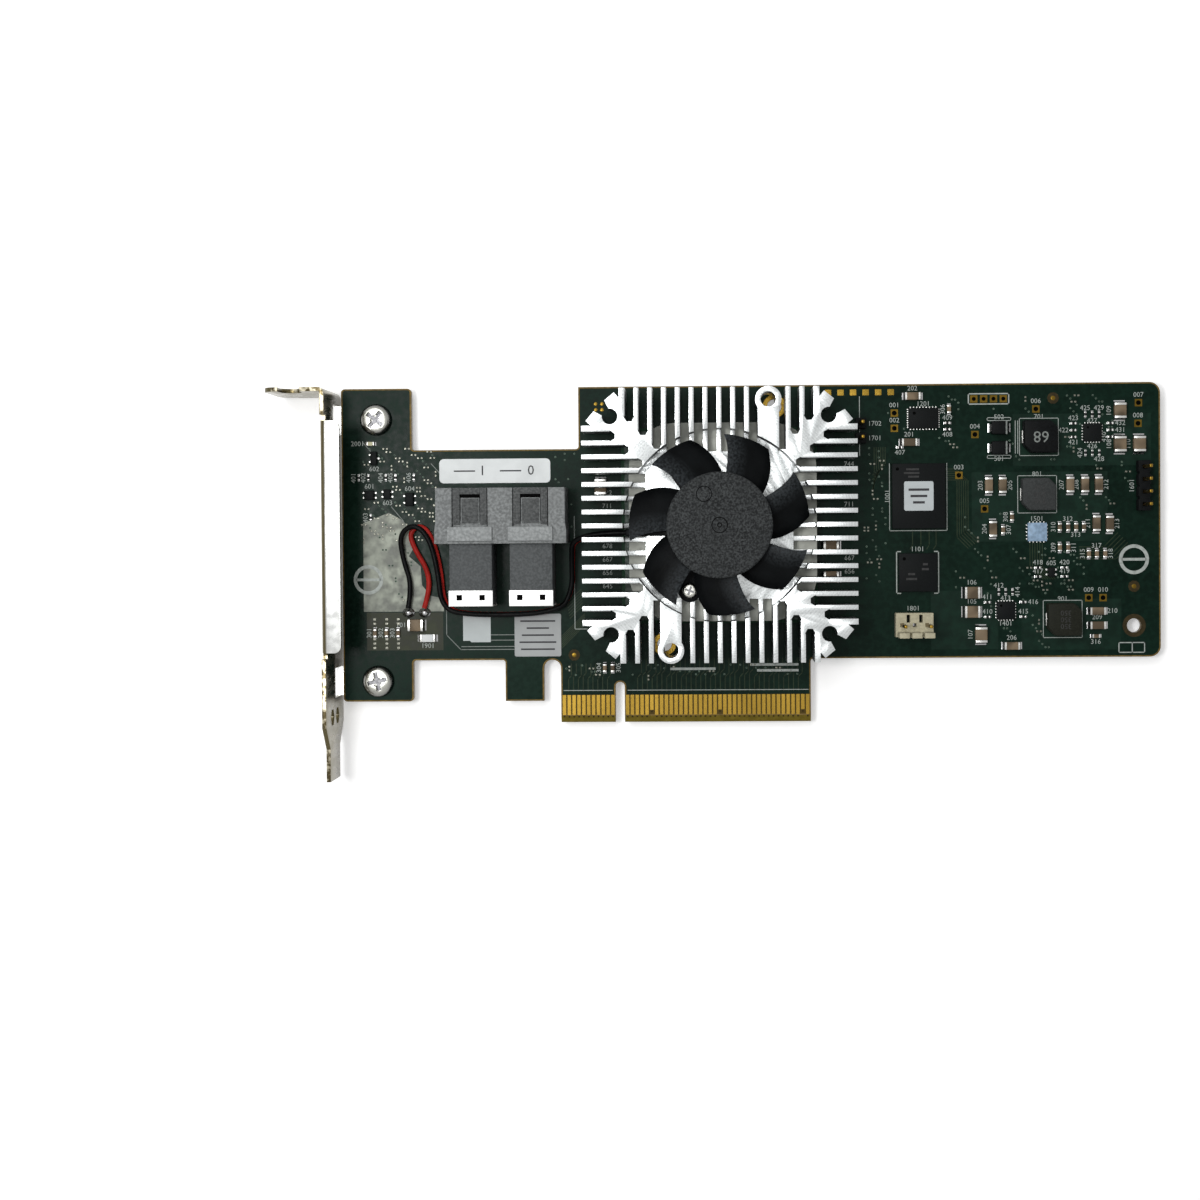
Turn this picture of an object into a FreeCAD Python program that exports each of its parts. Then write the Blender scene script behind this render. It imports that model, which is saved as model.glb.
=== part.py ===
"""A low-profile host bus adapter: board, bracket, finned cooler with a fan, and two internal ports.

The card lies flat with its component side up. The origin is the middle of the key notch, at the edge
of the contact tongue and half way through the board. +X runs to the far end of the board, away from
the bracket, +Y runs away from the slot that the card plugs into, and +Z is the component side.
"""
import FreeCAD, Part
import os
import re
from math import cos, degrees, pi, radians, sin, sqrt, tan

import Sketcher

# Driving dimensions in millimetres, one cell of the sheet each
SIZES = dict(
    # Board outline
    board_near=57.15, board_far=110.5, board_top=68.9, board_thickness=1.57,
    shoulder=12.9, ear_bottom=4.45, ear_width=14.5, cutout_right=8.2, cutout_depth=12.7,
    guide_near=23.6, guide_far=15.65, key_width=1.9, key_depth=8.25,
    cutout_radius=0.6, corner_radius=2.2, small_corner=0.8, bevel_length=1.3, bevel_depth=0.4,
    # Gold contacts of the card edge, eleven before the key and thirty-eight after it
    near_count=11, far_count=38, contact_pitch=1.0, key_pitch=3.0, contact_margin=0.65,
    contact_width=0.7, contact_length=4.1, contact_setback=1.5, contact_thickness=0.05,
    presence_cut=1.0,
    # Holes in the board
    screw_hole_radius=1.6, sink_hole_radius=1.5, far_hole_radius=1.45, far_hole_inset=5.4,
    far_hole_rise=6.4,
    # Bracket, a folded steel sheet
    sheet_thickness=0.86, bracket_gap=0.75, bracket_width=18.42, bracket_low=2.9, bend_radius=1.25,
    tab_top=68.3, tab_reach=11.43, tab_corner=3.0, notch_width=4.42, notch_depth=5.0, notch_offset=6.2,
    taper_top=0.35, taper_end=4.2, tongue_end=10.9, tongue_width=10.2,
    lip_low=15.3, lip_high=61.6, lip_reach=3.9, lip_corner=1.4, relief_width=1.2, relief_depth=1.8,
    lug_width=6.0, lug_margin=3.6, window_height=6.4,
    thread_radius=1.25, vent_radius=1.6, vent_pitch=5.2, vent_count=6,
    # Bracket screws
    screw_inset=7.25, screw_drop=6.4, screw_rise=4.25, head_radius=3.2, head_height=2.1,
    shank_radius=1.15, shank_length=3.9,
    # Controller and its heat sink
    chip_size=40.0, substrate_thickness=1.2, lid_size=38.5, lid_thickness=1.8,
    pad_size=29.0, pad_thickness=0.3,
    sink_x=20.6, sink_y=40.3, sink_size=54.8, sink_height=10.0, core_size=29.8,
    fin_pitch=2.745, fin_thickness=0.95, web_reach=2.86, recess_radius=19.3, recess_floor=3.0,
    strap_offset=9.8, strap_width=4.2, ear_distance=24.9, ear_radius=2.6, ear_hole_radius=1.5,
    hook_gap=2.485, hook_radius=1.54, sink_hole_across=11.4, sink_hole_along=24.3,
    # Fan, heights measured from the floor of the recess
    base_radius=10.4, base_thickness=1.2, arm_width=4.4, boss_radius=2.3, screw_circle=14.5,
    fan_head_radius=1.52, fan_head_height=0.7, fan_shank_radius=0.7, fan_shank_length=2.4,
    thread_fit=0.05, tube_radius=2.5, tube_height=4.7, bore_floor=0.4, thrust_gap=0.1,
    sleeve_radius=1.75, sleeve_length=4.2, shaft_radius=0.75, running_gap=0.03, seat_gap=0.02,
    guide_width=1.4, guide_reach=18.9, guide_length=2.6, guide_drop=0.5, guide_height=2.6,
    stator_low=2.5, stator_height=2.0, stator_radius=6.9, pole_width=1.8, shoe_width=4.8,
    shoe_depth=0.9, yoke_ring=3.7, coil_wall=0.75, coil_gap=0.1,
    hub_radius=10.6, hub_wall=1.3, hub_low=2.5, hub_top=7.9, hub_roof=1.9,
    shaft_grip=1.4, magnet_gap=0.05, magnet_inner=7.3, magnet_low=2.9, magnet_height=3.0,
    blade_tip=18.1, blade_over=0.6, blade_low=2.6, blade_slope=0.39, blade_thickness=0.55,
    blade_bow=0.07, root_trail=4.6, root_lead=2.36, tip_trail=2.83, tip_lead=7.0, blade_count=7,
    # Fan wires
    wire_diameter=1.05, joint_radius=0.95, joint_height=0.75,
    # Internal ports
    ports_x=-23.45, port_pitch=12.2, mouth_setback=8.05, shroud_length=11.25, shroud_width=26.1,
    shroud_height=10.0, shroud_flare=0.25, flare_length=2.6, cavity_width=9.3, cavity_height=6.0,
    cavity_floor=1.6, latch_width=7.2, latch_depth=0.8, catch_width=4.0, catch_length=5.4,
    catch_depth=0.7, catch_setback=1.3, bar_width=8.9, bar_length=2.75, bar_height=0.5, bar_rise=0.6,
    body_width=8.6, body_length=12.3, body_height=9.0, nose_length=2.5, nose_fit=0.1,
    card_slot_width=7.6, card_slot_height=1.3, card_slot_depth=2.0, card_slot_pitch=2.6,
    port_contact_pitch=1.5, port_contact_width=0.7, port_contact_height=0.25,
    clip_thickness=0.3, clip_width=8.9, clip_band=2.9, clip_hole=1.1, clip_hole_pitch=4.6,
    # Labels on the board
    label_thickness=0.1, port_label_length=22.9, port_label_width=5.0, port_label_gap=1.2,
    board_label_length=9.6, board_label_width=8.8, label_margin=0.7,
    # Chips
    memory_length=10.9, memory_width=13.3, memory_height=1.2, paper_size=6.0, paper_thickness=0.1,
    flash_size=7.85, flash_height=1.0, clock_length=6.1, clock_width=4.25, clock_height=0.9,
    power_chip_size=3.7, power_chip_height=0.9, stage_length=3.9, stage_width=3.8, stage_height=1.0,
    small_chip_height=0.9, small_chip_lift=0.1, lead_thickness=0.15, lead_reach=0.5, lead_width=0.4,
    # Inductors, each a moulded block with a terminal at two sides
    coil_body_length=6.9, coil_body_width=6.6, coil_body_height=3.0, coil_body_chamfer=1.5,
    terminal_thickness=0.2, terminal_width=2.6, terminal_height=1.6,
    # Chip capacitors, resistors and other small parts
    tantalum_length=3.5, tantalum_width=2.8, tantalum_height=1.9,
    bulk_length=3.2, bulk_width=2.5, bulk_height=1.6, bulk_gap=1.2, bulk_far_gap=3.05,
    filter_length=3.2, filter_width=1.6, filter_height=1.2,
    bypass_length=1.6, bypass_width=0.8, bypass_height=0.75,
    resistor_length=1.0, resistor_width=0.5, resistor_height=0.35,
    fuse_height=0.7, light_height=0.6,
    # Pin headers
    pin_pitch=2.54, pin_width=0.64, pin_tail=1.4, pin_fit=0.04,
    service_width=2.5, service_height=2.5, service_pin_top=8.5, service_groove=0.5,
    jumper_pin_top=8.0, jumper_height=2.4, jumper_width=2.2,
    header_depth=4.9, header_base=3.2, header_margin=0.0, header_pin_top=11.0, header_slit=0.7,
    header_slit_length=1.6, header_wall=1.1, header_wall_top=8.5, header_finger_gap=0.5,
)
FINS_EACH_WAY = 7
ARM_ANGLES = (5.2, 125.2, 245.2)
BLADE_TURN = -35.5

doc = FreeCAD.newDocument("host_bus_adapter")
sheet = doc.addObject("Spreadsheet::Sheet", "Sizes")
for row, (name, number) in enumerate(SIZES.items(), start=1):
    sheet.set(f"A{row}", name)
    sheet.set(f"B{row}", str(number))
    sheet.setAlias(f"B{row}", name)
doc.recompute()

NAME = re.compile(r"[A-Za-z_]\w*")
SUB_PARTS = []


def linked(text):
    """The expression with each size's name pointing at its cell."""
    return NAME.sub(lambda word: ("Sizes." if word.group() in SIZES else "") + word.group(), str(text))


def value(text):
    """What an expression comes to with the sheet as it stands."""
    return float(sheet.evalExpression(linked(text)))


def bind(item, **sizes):
    for prop, text in sizes.items():
        item.setExpression(prop, linked(text))


def seat(item, x, y, z):
    for axis, text in zip("xyz", (x, y, z)):
        item.setExpression(f"Placement.Base.{axis}", linked(text))
    return item


def keep(item, label):
    """Names a finished sub-part, which is written to a file of that name."""
    item.Label = label
    SUB_PARTS.append(item)
    return item


def block(name, size, at, turn=0):
    """A block with its footprint centred on a place and its underside at that height."""
    item = doc.addObject("Part::Box", name)
    length, width, height = size
    bind(item, Length=length, Width=width, Height=height)
    if turn:
        item.Placement = FreeCAD.Placement(FreeCAD.Vector(), FreeCAD.Rotation(FreeCAD.Vector(0, 0, 1), turn))
    c, s = cos(radians(turn)), sin(radians(turn))
    x = f"({at[0]}) - ({length})/2*{c:.6f} + ({width})/2*{s:.6f}"
    y = f"({at[1]}) - ({length})/2*{s:.6f} - ({width})/2*{c:.6f}"
    return seat(item, x, y, at[2])


def rod(name, radius, height, at):
    item = doc.addObject("Part::Cylinder", name)
    bind(item, Radius=radius, Height=height)
    return seat(item, *at)


def fuse(name, *items):
    item = doc.addObject("Part::MultiFuse", name)
    item.Shapes = list(items)
    return item


def cut(name, base, *tools):
    item = doc.addObject("Part::Cut", name)
    item.Base = base
    item.Tool = tools[0] if len(tools) == 1 else fuse(name + "_tools", *tools)
    return item


def common(name, first, second):
    item = doc.addObject("Part::Common", name)
    item.Base = first
    item.Tool = second
    return item


def group(name, items):
    """Like pieces that share one file, each still a solid of its own."""
    item = doc.addObject("Part::Compound", name)
    item.Links = list(items)
    return item


def prism(name, sides, radius, height, at, turn=0):
    """A many-sided rod whose flats lie at the given radius."""
    item = doc.addObject("Part::Prism", name)
    item.Polygon = sides
    bind(item, Circumradius=f"({radius})/{cos(pi/sides):.6f}", Height=height)
    item.Placement = FreeCAD.Placement(FreeCAD.Vector(), FreeCAD.Rotation(FreeCAD.Vector(0, 0, 1), turn))
    return seat(item, *at)


# Sketches and the features made from them


def origin_part(owner, role):
    return next(feature for feature in owner.Origin.OriginFeatures if feature.Role == role)


def sketch(owner, name, plane="XY_Plane", offset="0"):
    """An empty sketch on one of the body's own planes, moved along the plane's normal."""
    flat = owner.newObject("Sketcher::SketchObject", name)
    flat.AttachmentSupport = [(origin_part(owner, plane), "")]
    flat.MapMode = "FlatFace"
    flat.setExpression("AttachmentOffset.Base.z", linked(offset))
    return flat


def tie(flat, constraint, text):
    index = flat.addConstraint(constraint)
    flat.setExpression(f"Constraints[{index}]", linked(text))


def tie_point(flat, geometry, end, x, y):
    tie(flat, Sketcher.Constraint("DistanceX", -1, 1, geometry, end, value(x)), x)
    tie(flat, Sketcher.Constraint("DistanceY", -1, 1, geometry, end, value(y)), y)


def outline(flat, corners):
    """A closed outline of straight sides, each corner tied to the sheet."""
    first, count = flat.GeometryCount, len(corners)
    points = [FreeCAD.Vector(value(x), value(y), 0) for x, y in corners]
    flat.addGeometry([Part.LineSegment(points[i], points[(i + 1) % count]) for i in range(count)], False)
    flat.addConstraint([Sketcher.Constraint("Coincident", first + i, 2, first + (i + 1) % count, 1)
                        for i in range(count)])
    for i, (x, y) in enumerate(corners):
        tie_point(flat, first + i, 1, x, y)


def rectangle(flat, left, low, right, high):
    outline(flat, [(left, low), (right, low), (right, high), (left, high)])


def circle(flat, x, y, radius):
    middle = FreeCAD.Vector(value(x), value(y), 0)
    index = flat.addGeometry(Part.Circle(middle, FreeCAD.Vector(0, 0, 1), value(radius)), False)
    tie_point(flat, index, 3, x, y)
    tie(flat, Sketcher.Constraint("Radius", index, value(radius)), radius)


def ring_of_sides(flat, sides, x, y, radius):
    """A round hole drawn with straight sides, for holes that another piece covers."""
    around = [2 * pi * step / sides for step in range(sides)]
    outline(flat, [(f"{x} + {cos(turn):.6f}*{radius}", f"{y} + {sin(turn):.6f}*{radius}")
                   for turn in around])


def pad(owner, flat, length, backwards=False):
    item = owner.newObject("PartDesign::Pad", flat.Name + "_pad")
    item.Profile = flat
    item.Reversed = backwards
    bind(item, Length=length)
    doc.recompute()
    return item


def pocket(owner, flat, length=None, backwards=False):
    """Cuts a sketch out of the body, right through it where no length is given."""
    before = owner.Shape.Volume
    item = owner.newObject("PartDesign::Pocket", flat.Name + "_pocket")
    item.Profile = flat
    item.Reversed = backwards
    if length is None:
        item.Type = "ThroughAll"
    else:
        bind(item, Length=length)
    doc.recompute()
    if not item.Shape.Volume < before:
        raise RuntimeError(f"{item.Name} cuts nothing")
    return item


def revolve(owner, flat):
    item = owner.newObject("PartDesign::Revolution", flat.Name + "_turned")
    item.Profile = flat
    item.ReferenceAxis = (flat, ["V_Axis"])
    item.Angle = 360
    doc.recompute()
    return item


def edges_through(feature, points, direction):
    """Names of the straight edges that run along a direction and hold one of the given points."""
    axis = FreeCAD.Vector(*direction)
    marks = [Part.Vertex(*point) for point in points]
    chosen = []
    for index, edge in enumerate(feature.Shape.Edges, start=1):
        run = edge.Vertexes[-1].Point - edge.Vertexes[0].Point
        if run.cross(axis).Length > 1e-4 or run.Length < 1e-4:
            continue
        if any(edge.distToShape(mark)[0] < 1e-3 for mark in marks):
            chosen.append(f"Edge{index}")
    return chosen


def round_edges(owner, feature, points, direction, radius):
    item = owner.newObject("PartDesign::Fillet", feature.Name + "_rounded")
    item.Base = (feature, edges_through(feature, points, direction))
    bind(item, Radius=radius)
    doc.recompute()
    return item


# Places that several pieces share
TOP = "board_thickness/2"
UNDER = "-board_thickness/2"
TONGUE_LEFT = "-(key_pitch/2 + (near_count - 1)*contact_pitch + contact_margin)"
TONGUE_RIGHT = "(key_pitch/2 + (far_count - 1)*contact_pitch + contact_margin)"
EAR_RIGHT = "(ear_width - board_near)"
CUTOUT_LOW = "(board_top - cutout_depth)"
SCREWS = [("(screw_inset - board_near)", "(board_top - screw_drop)"),
          ("(screw_inset - board_near)", "(ear_bottom + screw_rise)")]
SINK_LOW = "(board_thickness/2 + substrate_thickness + lid_thickness + pad_thickness)"
FLOOR = f"({SINK_LOW} + recess_floor)"
MOUTH = f"({CUTOUT_LOW} - mouth_setback)"
SHROUD_BACK = f"({MOUTH} - shroud_length)"
PORTS = ["(ports_x + port_pitch/2)", "(ports_x - port_pitch/2)"]
PORT_LEFT = "(ports_x - shroud_width/2 - shroud_flare)"
SINK_HOLES = [(f"(sink_x {way} sink_hole_across)", f"(sink_y {way} sink_hole_along)") for way in "+-"]
FAR_HOLE = ("(board_far - far_hole_inset)", "(shoulder + far_hole_rise)")

# Areas of the board that small parts are spread over: left, low, right and high sides, and the same
# sides as measured. A part keeps its share of its area's width and height.
AREAS = {
    "power": (("(sink_x + sink_size/2)", "shoulder", "board_far", "board_top"), (48.0, 12.9, 110.5, 68.9)),
    "near": (("-board_near", "ear_bottom", PORT_LEFT, "board_top"), (-57.15, 4.45, -36.75, 68.9)),
    "tongue": ((TONGUE_LEFT, "0", TONGUE_RIGHT, "shoulder"), (-12.15, 0.0, 39.15, 12.9)),
}


def spot(area, x, y):
    """The expressions for a measured place, as a share of its area."""
    (left, low, right, high), (x0, y0, x1, y1) = AREAS[area]
    across, along = (x - x0) / (x1 - x0), (y - y0) / (y1 - y0)
    return f"({left} + {across:.4f}*({right} - {left}))", f"({low} + {along:.4f}*({high} - {low}))"


SERVICE = spot("power", 106.8, 47.8)
JUMPERS = [spot("power", 49.5, 60.9), spot("power", 49.5, 57.9)]
FAN_HEADER = spot("power", 60.15, 19.75)
SERVICE_PINS = [(SERVICE[0], f"({SERVICE[1]} + {step}*pin_pitch)") for step in (-1.5, -0.5, 0.5, 1.5)]
HEADER_PINS = [(f"({FAN_HEADER[0]} + {step}*pin_pitch)", FAN_HEADER[1]) for step in (-1, 0, 1)]


# Board and its card edge


def circuit_board():
    board = doc.addObject("PartDesign::Body", "circuit_board")
    edge = sketch(board, "board_outline", offset=TOP)
    corners = {
        "ear_low_left": ("-board_near", "ear_bottom"), "ear_low_right": (EAR_RIGHT, "ear_bottom"),
        "bay_left": (EAR_RIGHT, "shoulder"), "bay_right": ("-guide_near", "shoulder"),
        "guide_left": ("-guide_near", "ear_bottom"), "guide_right": ("-guide_far", "ear_bottom"),
        "slot_left": ("-guide_far", "shoulder"), "slot_right": (TONGUE_LEFT, "shoulder"),
        "tongue_left": (TONGUE_LEFT, "0"), "key_left": ("-key_width/2", "0"),
        "key_top_left": ("-key_width/2", "key_depth"), "key_top_right": ("key_width/2", "key_depth"),
        "key_right": ("key_width/2", "0"), "tongue_right": (TONGUE_RIGHT, "0"),
        "shoulder": (TONGUE_RIGHT, "shoulder"), "far_low": ("board_far", "shoulder"),
        "far_high": ("board_far", "board_top"), "cutout_right": ("-cutout_right", "board_top"),
        "cutout_low_right": ("-cutout_right", CUTOUT_LOW), "cutout_low_left": (EAR_RIGHT, CUTOUT_LOW),
        "ear_high_right": (EAR_RIGHT, "board_top"), "ear_high_left": ("-board_near", "board_top"),
    }
    outline(edge, list(corners.values()))
    feature = pad(board, edge, "board_thickness", backwards=True)

    def round_corners(feature, names, radius):
        points = [(value(corners[name][0]), value(corners[name][1]), 0) for name in names]
        return round_edges(board, feature, points, (0, 0, 1), radius)

    feature = round_corners(feature, ("bay_left", "bay_right", "cutout_low_right", "cutout_low_left",
                                      "shoulder"), "cutout_radius")
    feature = round_corners(feature, ("far_low", "far_high"), "corner_radius")
    feature = round_corners(feature, ("ear_low_left", "ear_low_right", "ear_high_left", "ear_high_right"),
                            "small_corner")
    feature = round_corners(feature, ("slot_left", "slot_right"), f"0.49*({TONGUE_LEFT} + guide_far)")
    feature = round_corners(feature, ("key_top_left", "key_top_right"), "0.49*key_width")
    bevel = sketch(board, "contact_bevel", "YZ_Plane", TONGUE_LEFT)
    for way in "+-":
        face = f"{way}board_thickness/2"
        tip = f"{way}(board_thickness/2 - bevel_depth)"
        outline(bevel, [("0", tip), ("bevel_length", face), ("0", face)])
    pocket(board, bevel, backwards=True)
    holes = sketch(board, "board_holes", offset=TOP)
    circle(holes, *FAR_HOLE, "far_hole_radius")
    for radius, places in (("screw_hole_radius", SCREWS), ("sink_hole_radius", SINK_HOLES)):
        for x, y in places:
            ring_of_sides(holes, 12, x, y, radius)
    half = "(pin_width/2 + pin_fit)"
    for x, y in SERVICE_PINS + JUMPERS + HEADER_PINS:
        rectangle(holes, f"{x} - {half}", f"{y} - {half}", f"{x} + {half}", f"{y} + {half}")
    pocket(board, holes)
    keep(board, "circuit_board")


def edge_contacts():
    """Contacts on both faces; the presence contacts are shorter, so that they touch last."""
    short = {TOP: {("far", 5), ("far", 19), ("far", 36)}, "under": {("near", 10)}}
    strips = []
    for side, height in ((TOP, TOP), ("under", f"{UNDER} - contact_thickness")):
        for part, count, way in (("near", SIZES["near_count"], "-"), ("far", SIZES["far_count"], "")):
            for index in range(count):
                gap = "presence_cut" if (part, index) in short[side] else "0"
                length = f"(contact_length - {gap})"
                x = f"{way}(key_pitch/2 + {index}*contact_pitch)"
                y = f"(contact_setback + {gap} + {length}/2)"
                strips.append(block("contact", ("contact_width", length, "contact_thickness"),
                                    (x, y, height)))
    keep(group("edge_contacts", strips), "edge_contacts")


# Bracket and its screws


def vent_tool(x, y, z):
    """What cuts one six-sided vent through the sheet."""
    tool = prism("bracket_vent", 6, "vent_radius", "sheet_thickness", (x, y, z))
    tool.Placement.Rotation = FreeCAD.Rotation(FreeCAD.Vector(0, 1, 0), 90)
    return tool


def bracket():
    plate = doc.addObject("PartDesign::Body", "bracket_plate")
    inner = "(-board_near - bracket_gap)"
    outer = f"({inner} - sheet_thickness)"
    low, high = "-bracket_low", "(bracket_width - bracket_low)"
    middle = "(bracket_width/2 - bracket_low)"
    face = sketch(plate, "bracket_face", "YZ_Plane", inner)
    outline(face, [
        ("tab_top", low), ("tab_top", high),
        ("lip_high + relief_width", high), ("lip_high + relief_width", f"{high} - relief_depth"),
        ("lip_high", f"{high} - relief_depth"), ("lip_high", high),
        ("lip_low", high), ("lip_low", f"{high} - relief_depth"),
        ("lip_low - relief_width", f"{high} - relief_depth"), ("lip_low - relief_width", high),
        ("taper_top", high), ("-taper_end", f"{middle} + tongue_width/2"),
        ("-tongue_end", f"{middle} + tongue_width/2"), ("-tongue_end", f"{middle} - tongue_width/2"),
        ("-taper_end", f"{middle} - tongue_width/2"), ("taper_top", low)])
    feature = pad(plate, face, "sheet_thickness", backwards=True)
    tab = sketch(plate, "bracket_tab", "XZ_Plane", "-tab_top")
    tip = f"({outer} - tab_reach)"
    rectangle(tab, tip, low, inner, high)
    feature = pad(plate, tab, "sheet_thickness")
    notch = sketch(plate, "screw_notch", "XZ_Plane", "-tab_top")
    left = f"({outer} - notch_offset - notch_width/2)"
    rectangle(notch, left, f"{high} - notch_depth", f"{left} + notch_width", f"{high} + notch_width")
    feature = pocket(plate, notch, "sheet_thickness", backwards=True)
    lip = sketch(plate, "bracket_lip", offset=high)
    rectangle(lip, outer, "lip_low", f"{outer} + lip_reach", "lip_high")
    feature = pad(plate, lip, "sheet_thickness", backwards=True)
    windows = sketch(plate, "lug_windows", "YZ_Plane", inner)
    for x, y in SCREWS:
        rectangle(windows, f"{y} - lug_width/2", UNDER, f"{y} + lug_width/2", f"{UNDER} + window_height")
    feature = pocket(plate, windows, "sheet_thickness")
    lugs = sketch(plate, "bracket_lugs", offset=UNDER)
    for x, y in SCREWS:
        rectangle(lugs, outer, f"{y} - lug_width/2", f"{x} + lug_margin", f"{y} + lug_width/2")
    feature = pad(plate, lugs, "sheet_thickness", backwards=True)
    threads = sketch(plate, "lug_threads", offset=UNDER)
    for x, y in SCREWS:
        ring_of_sides(threads, 12, x, y, "thread_radius")
    feature = pocket(plate, threads)
    centre = "(lip_low + lip_high)/2"
    x_in, x_out, x_tip, x_notch = value(inner), value(outer), value(tip), value(left)
    z_low, z_high, z_notch = value(low), value(high), value(f"{high} - notch_depth")
    y_tab, z_lip = value("tab_top - sheet_thickness/2"), value(f"{high} - sheet_thickness/2")
    x_lip = value(f"{outer} + lip_reach")
    feature = round_edges(plate, feature, [(x_out, value(centre), z_high)], (0, 1, 0), "bend_radius")
    lip_ends = [(x_lip, value("lip_low"), z_lip), (x_lip, value("lip_high"), z_lip)]
    feature = round_edges(plate, feature, lip_ends, (0, 0, 1), "lip_corner")
    tab_ends = [(x_tip, y_tab, z_low), (x_tip, y_tab, z_high)]
    feature = round_edges(plate, feature, tab_ends, (0, 1, 0), "tab_corner")
    notch_ends = [(x_notch, y_tab, z_notch), (value(f"{left} + notch_width"), y_tab, z_notch)]
    feature = round_edges(plate, feature, notch_ends, (0, 1, 0), "0.49*notch_width")
    round_edges(plate, feature, [(x_in, value("tab_top"), 0)], (0, 0, 1), "bend_radius")
    places = [(f"{centre} + ({row} - (vent_count - 1)/2)*vent_pitch", column)
              for row in range(SIZES["vent_count"]) for column in (-1, 0, 1)]
    places += [("taper_top + vent_radius", column) for column in (-0.5, 0.5)]
    vents = [vent_tool(outer, along, f"{middle} + {column}*vent_pitch") for along, column in places]
    keep(cut("bracket", plate, *vents), "bracket")


def screw(name, sides, head, shank, at):
    """A screw with its head's underside at the given place; head and shank are a radius and a length."""
    x, y, z = at
    top = prism(name + "_head", sides, *head, (x, y, z))
    stem = prism(name + "_shank", 8, *shank, (x, y, f"{z} - {shank[1]}"))
    return fuse(name, top, stem)


def bracket_screws():
    head, shank = ("head_radius", "head_height"), ("shank_radius", "shank_length")
    screws = [screw("bracket_screw", 24, head, shank, (x, y, TOP)) for x, y in SCREWS]
    keep(group("bracket_screws", screws), "bracket_screws")


# Controller and heat sink


def controller():
    middle = ("sink_x", "sink_y")
    keep(block("controller_substrate", ("chip_size", "chip_size", "substrate_thickness"), (*middle, TOP)),
         "controller_substrate")
    lid_low = f"{TOP} + substrate_thickness"
    keep(block("controller_lid", ("lid_size", "lid_size", "lid_thickness"), (*middle, lid_low)),
         "controller_lid")
    pad_low = f"{lid_low} + lid_thickness"
    keep(block("thermal_pad", ("pad_size", "pad_size", "pad_thickness"), (*middle, pad_low)), "thermal_pad")


def sink_slots():
    """Slots between the fins, cut in from the four sides as far as the core or the diagonal webs."""
    slot = "(fin_pitch - fin_thickness)"
    tools = []
    for side in range(4):
        for index in range(-FINS_EACH_WAY, FINS_EACH_WAY):
            if side % 2 == 1 and index in ((2, 3, 4) if side == 1 else (-5, -4, -3)):
                continue
            along = f"({index + 0.5}*fin_pitch)"
            reach = f"max(core_size/2; abs({along}) + web_reach)"
            rounded = abs(value(along)) + SIZES["web_reach"] > SIZES["core_size"] / 2
            start = f"({reach} + {slot}/2)" if rounded else f"({reach})"
            length = f"(sink_size/2 + fin_pitch - {start})"
            far = f"({start} + {length}/2)"
            way = 1 if side < 2 else -1
            turn = (lambda a, b: (a, b)) if side % 2 == 0 else (lambda a, b: (b, a))
            at = turn(f"sink_{'xy'[side % 2]} + {way}*{far}", f"sink_{'yx'[side % 2]} + {along}")
            size = turn(length, slot)
            tools.append(block("fin_slot", (*size, "sink_height"), (*at, SINK_LOW)))
            if rounded:
                at = turn(f"sink_{'xy'[side % 2]} + {way}*{start}", f"sink_{'yx'[side % 2]} + {along}")
                tools.append(prism("fin_slot_end", 6, f"{slot}/2", "sink_height", (*at, SINK_LOW),
                                   30 * (side % 2 == 0)))
    return tools


def hook_cut(sign_x, sign_y):
    """What is cut away at a corner to leave two prongs round a spring hole, with an open mouth."""
    centre = f"({FINS_EACH_WAY}*fin_pitch + hook_gap)"
    half = ((-1.17, 2.40), (-0.56, 3.12), (0.70, 2.08), (0.18, 1.10))
    outside = "(sink_size/2 + fin_pitch)"
    points = [(f"{centre} + {half[0][0]}*hook_radius", outside)]
    points += [(f"{centre} + {a}*hook_radius", f"{centre} + {b}*hook_radius") for a, b in half]
    points.append((centre, centre))
    points += [(f"{centre} + {b}*hook_radius", f"{centre} + {a}*hook_radius") for a, b in reversed(half)]
    points += [(outside, f"{centre} + {half[0][0]}*hook_radius"), (outside, outside)]
    corner = doc.addObject("PartDesign::Body", "hook_corner")
    flat = sketch(corner, "hook_outline")
    outline(flat, [(f"{sign_x}*({x})", f"{sign_y}*({y})") for x, y in points])
    pad(corner, flat, "sink_height")
    seat(corner, "sink_x", "sink_y", SINK_LOW)
    hole = prism("hook_hole", 16, "hook_radius", "sink_height",
                 (f"sink_x + {sign_x}*{centre}", f"sink_y + {sign_y}*{centre}", SINK_LOW), 11.25)
    return [corner, hole]


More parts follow.
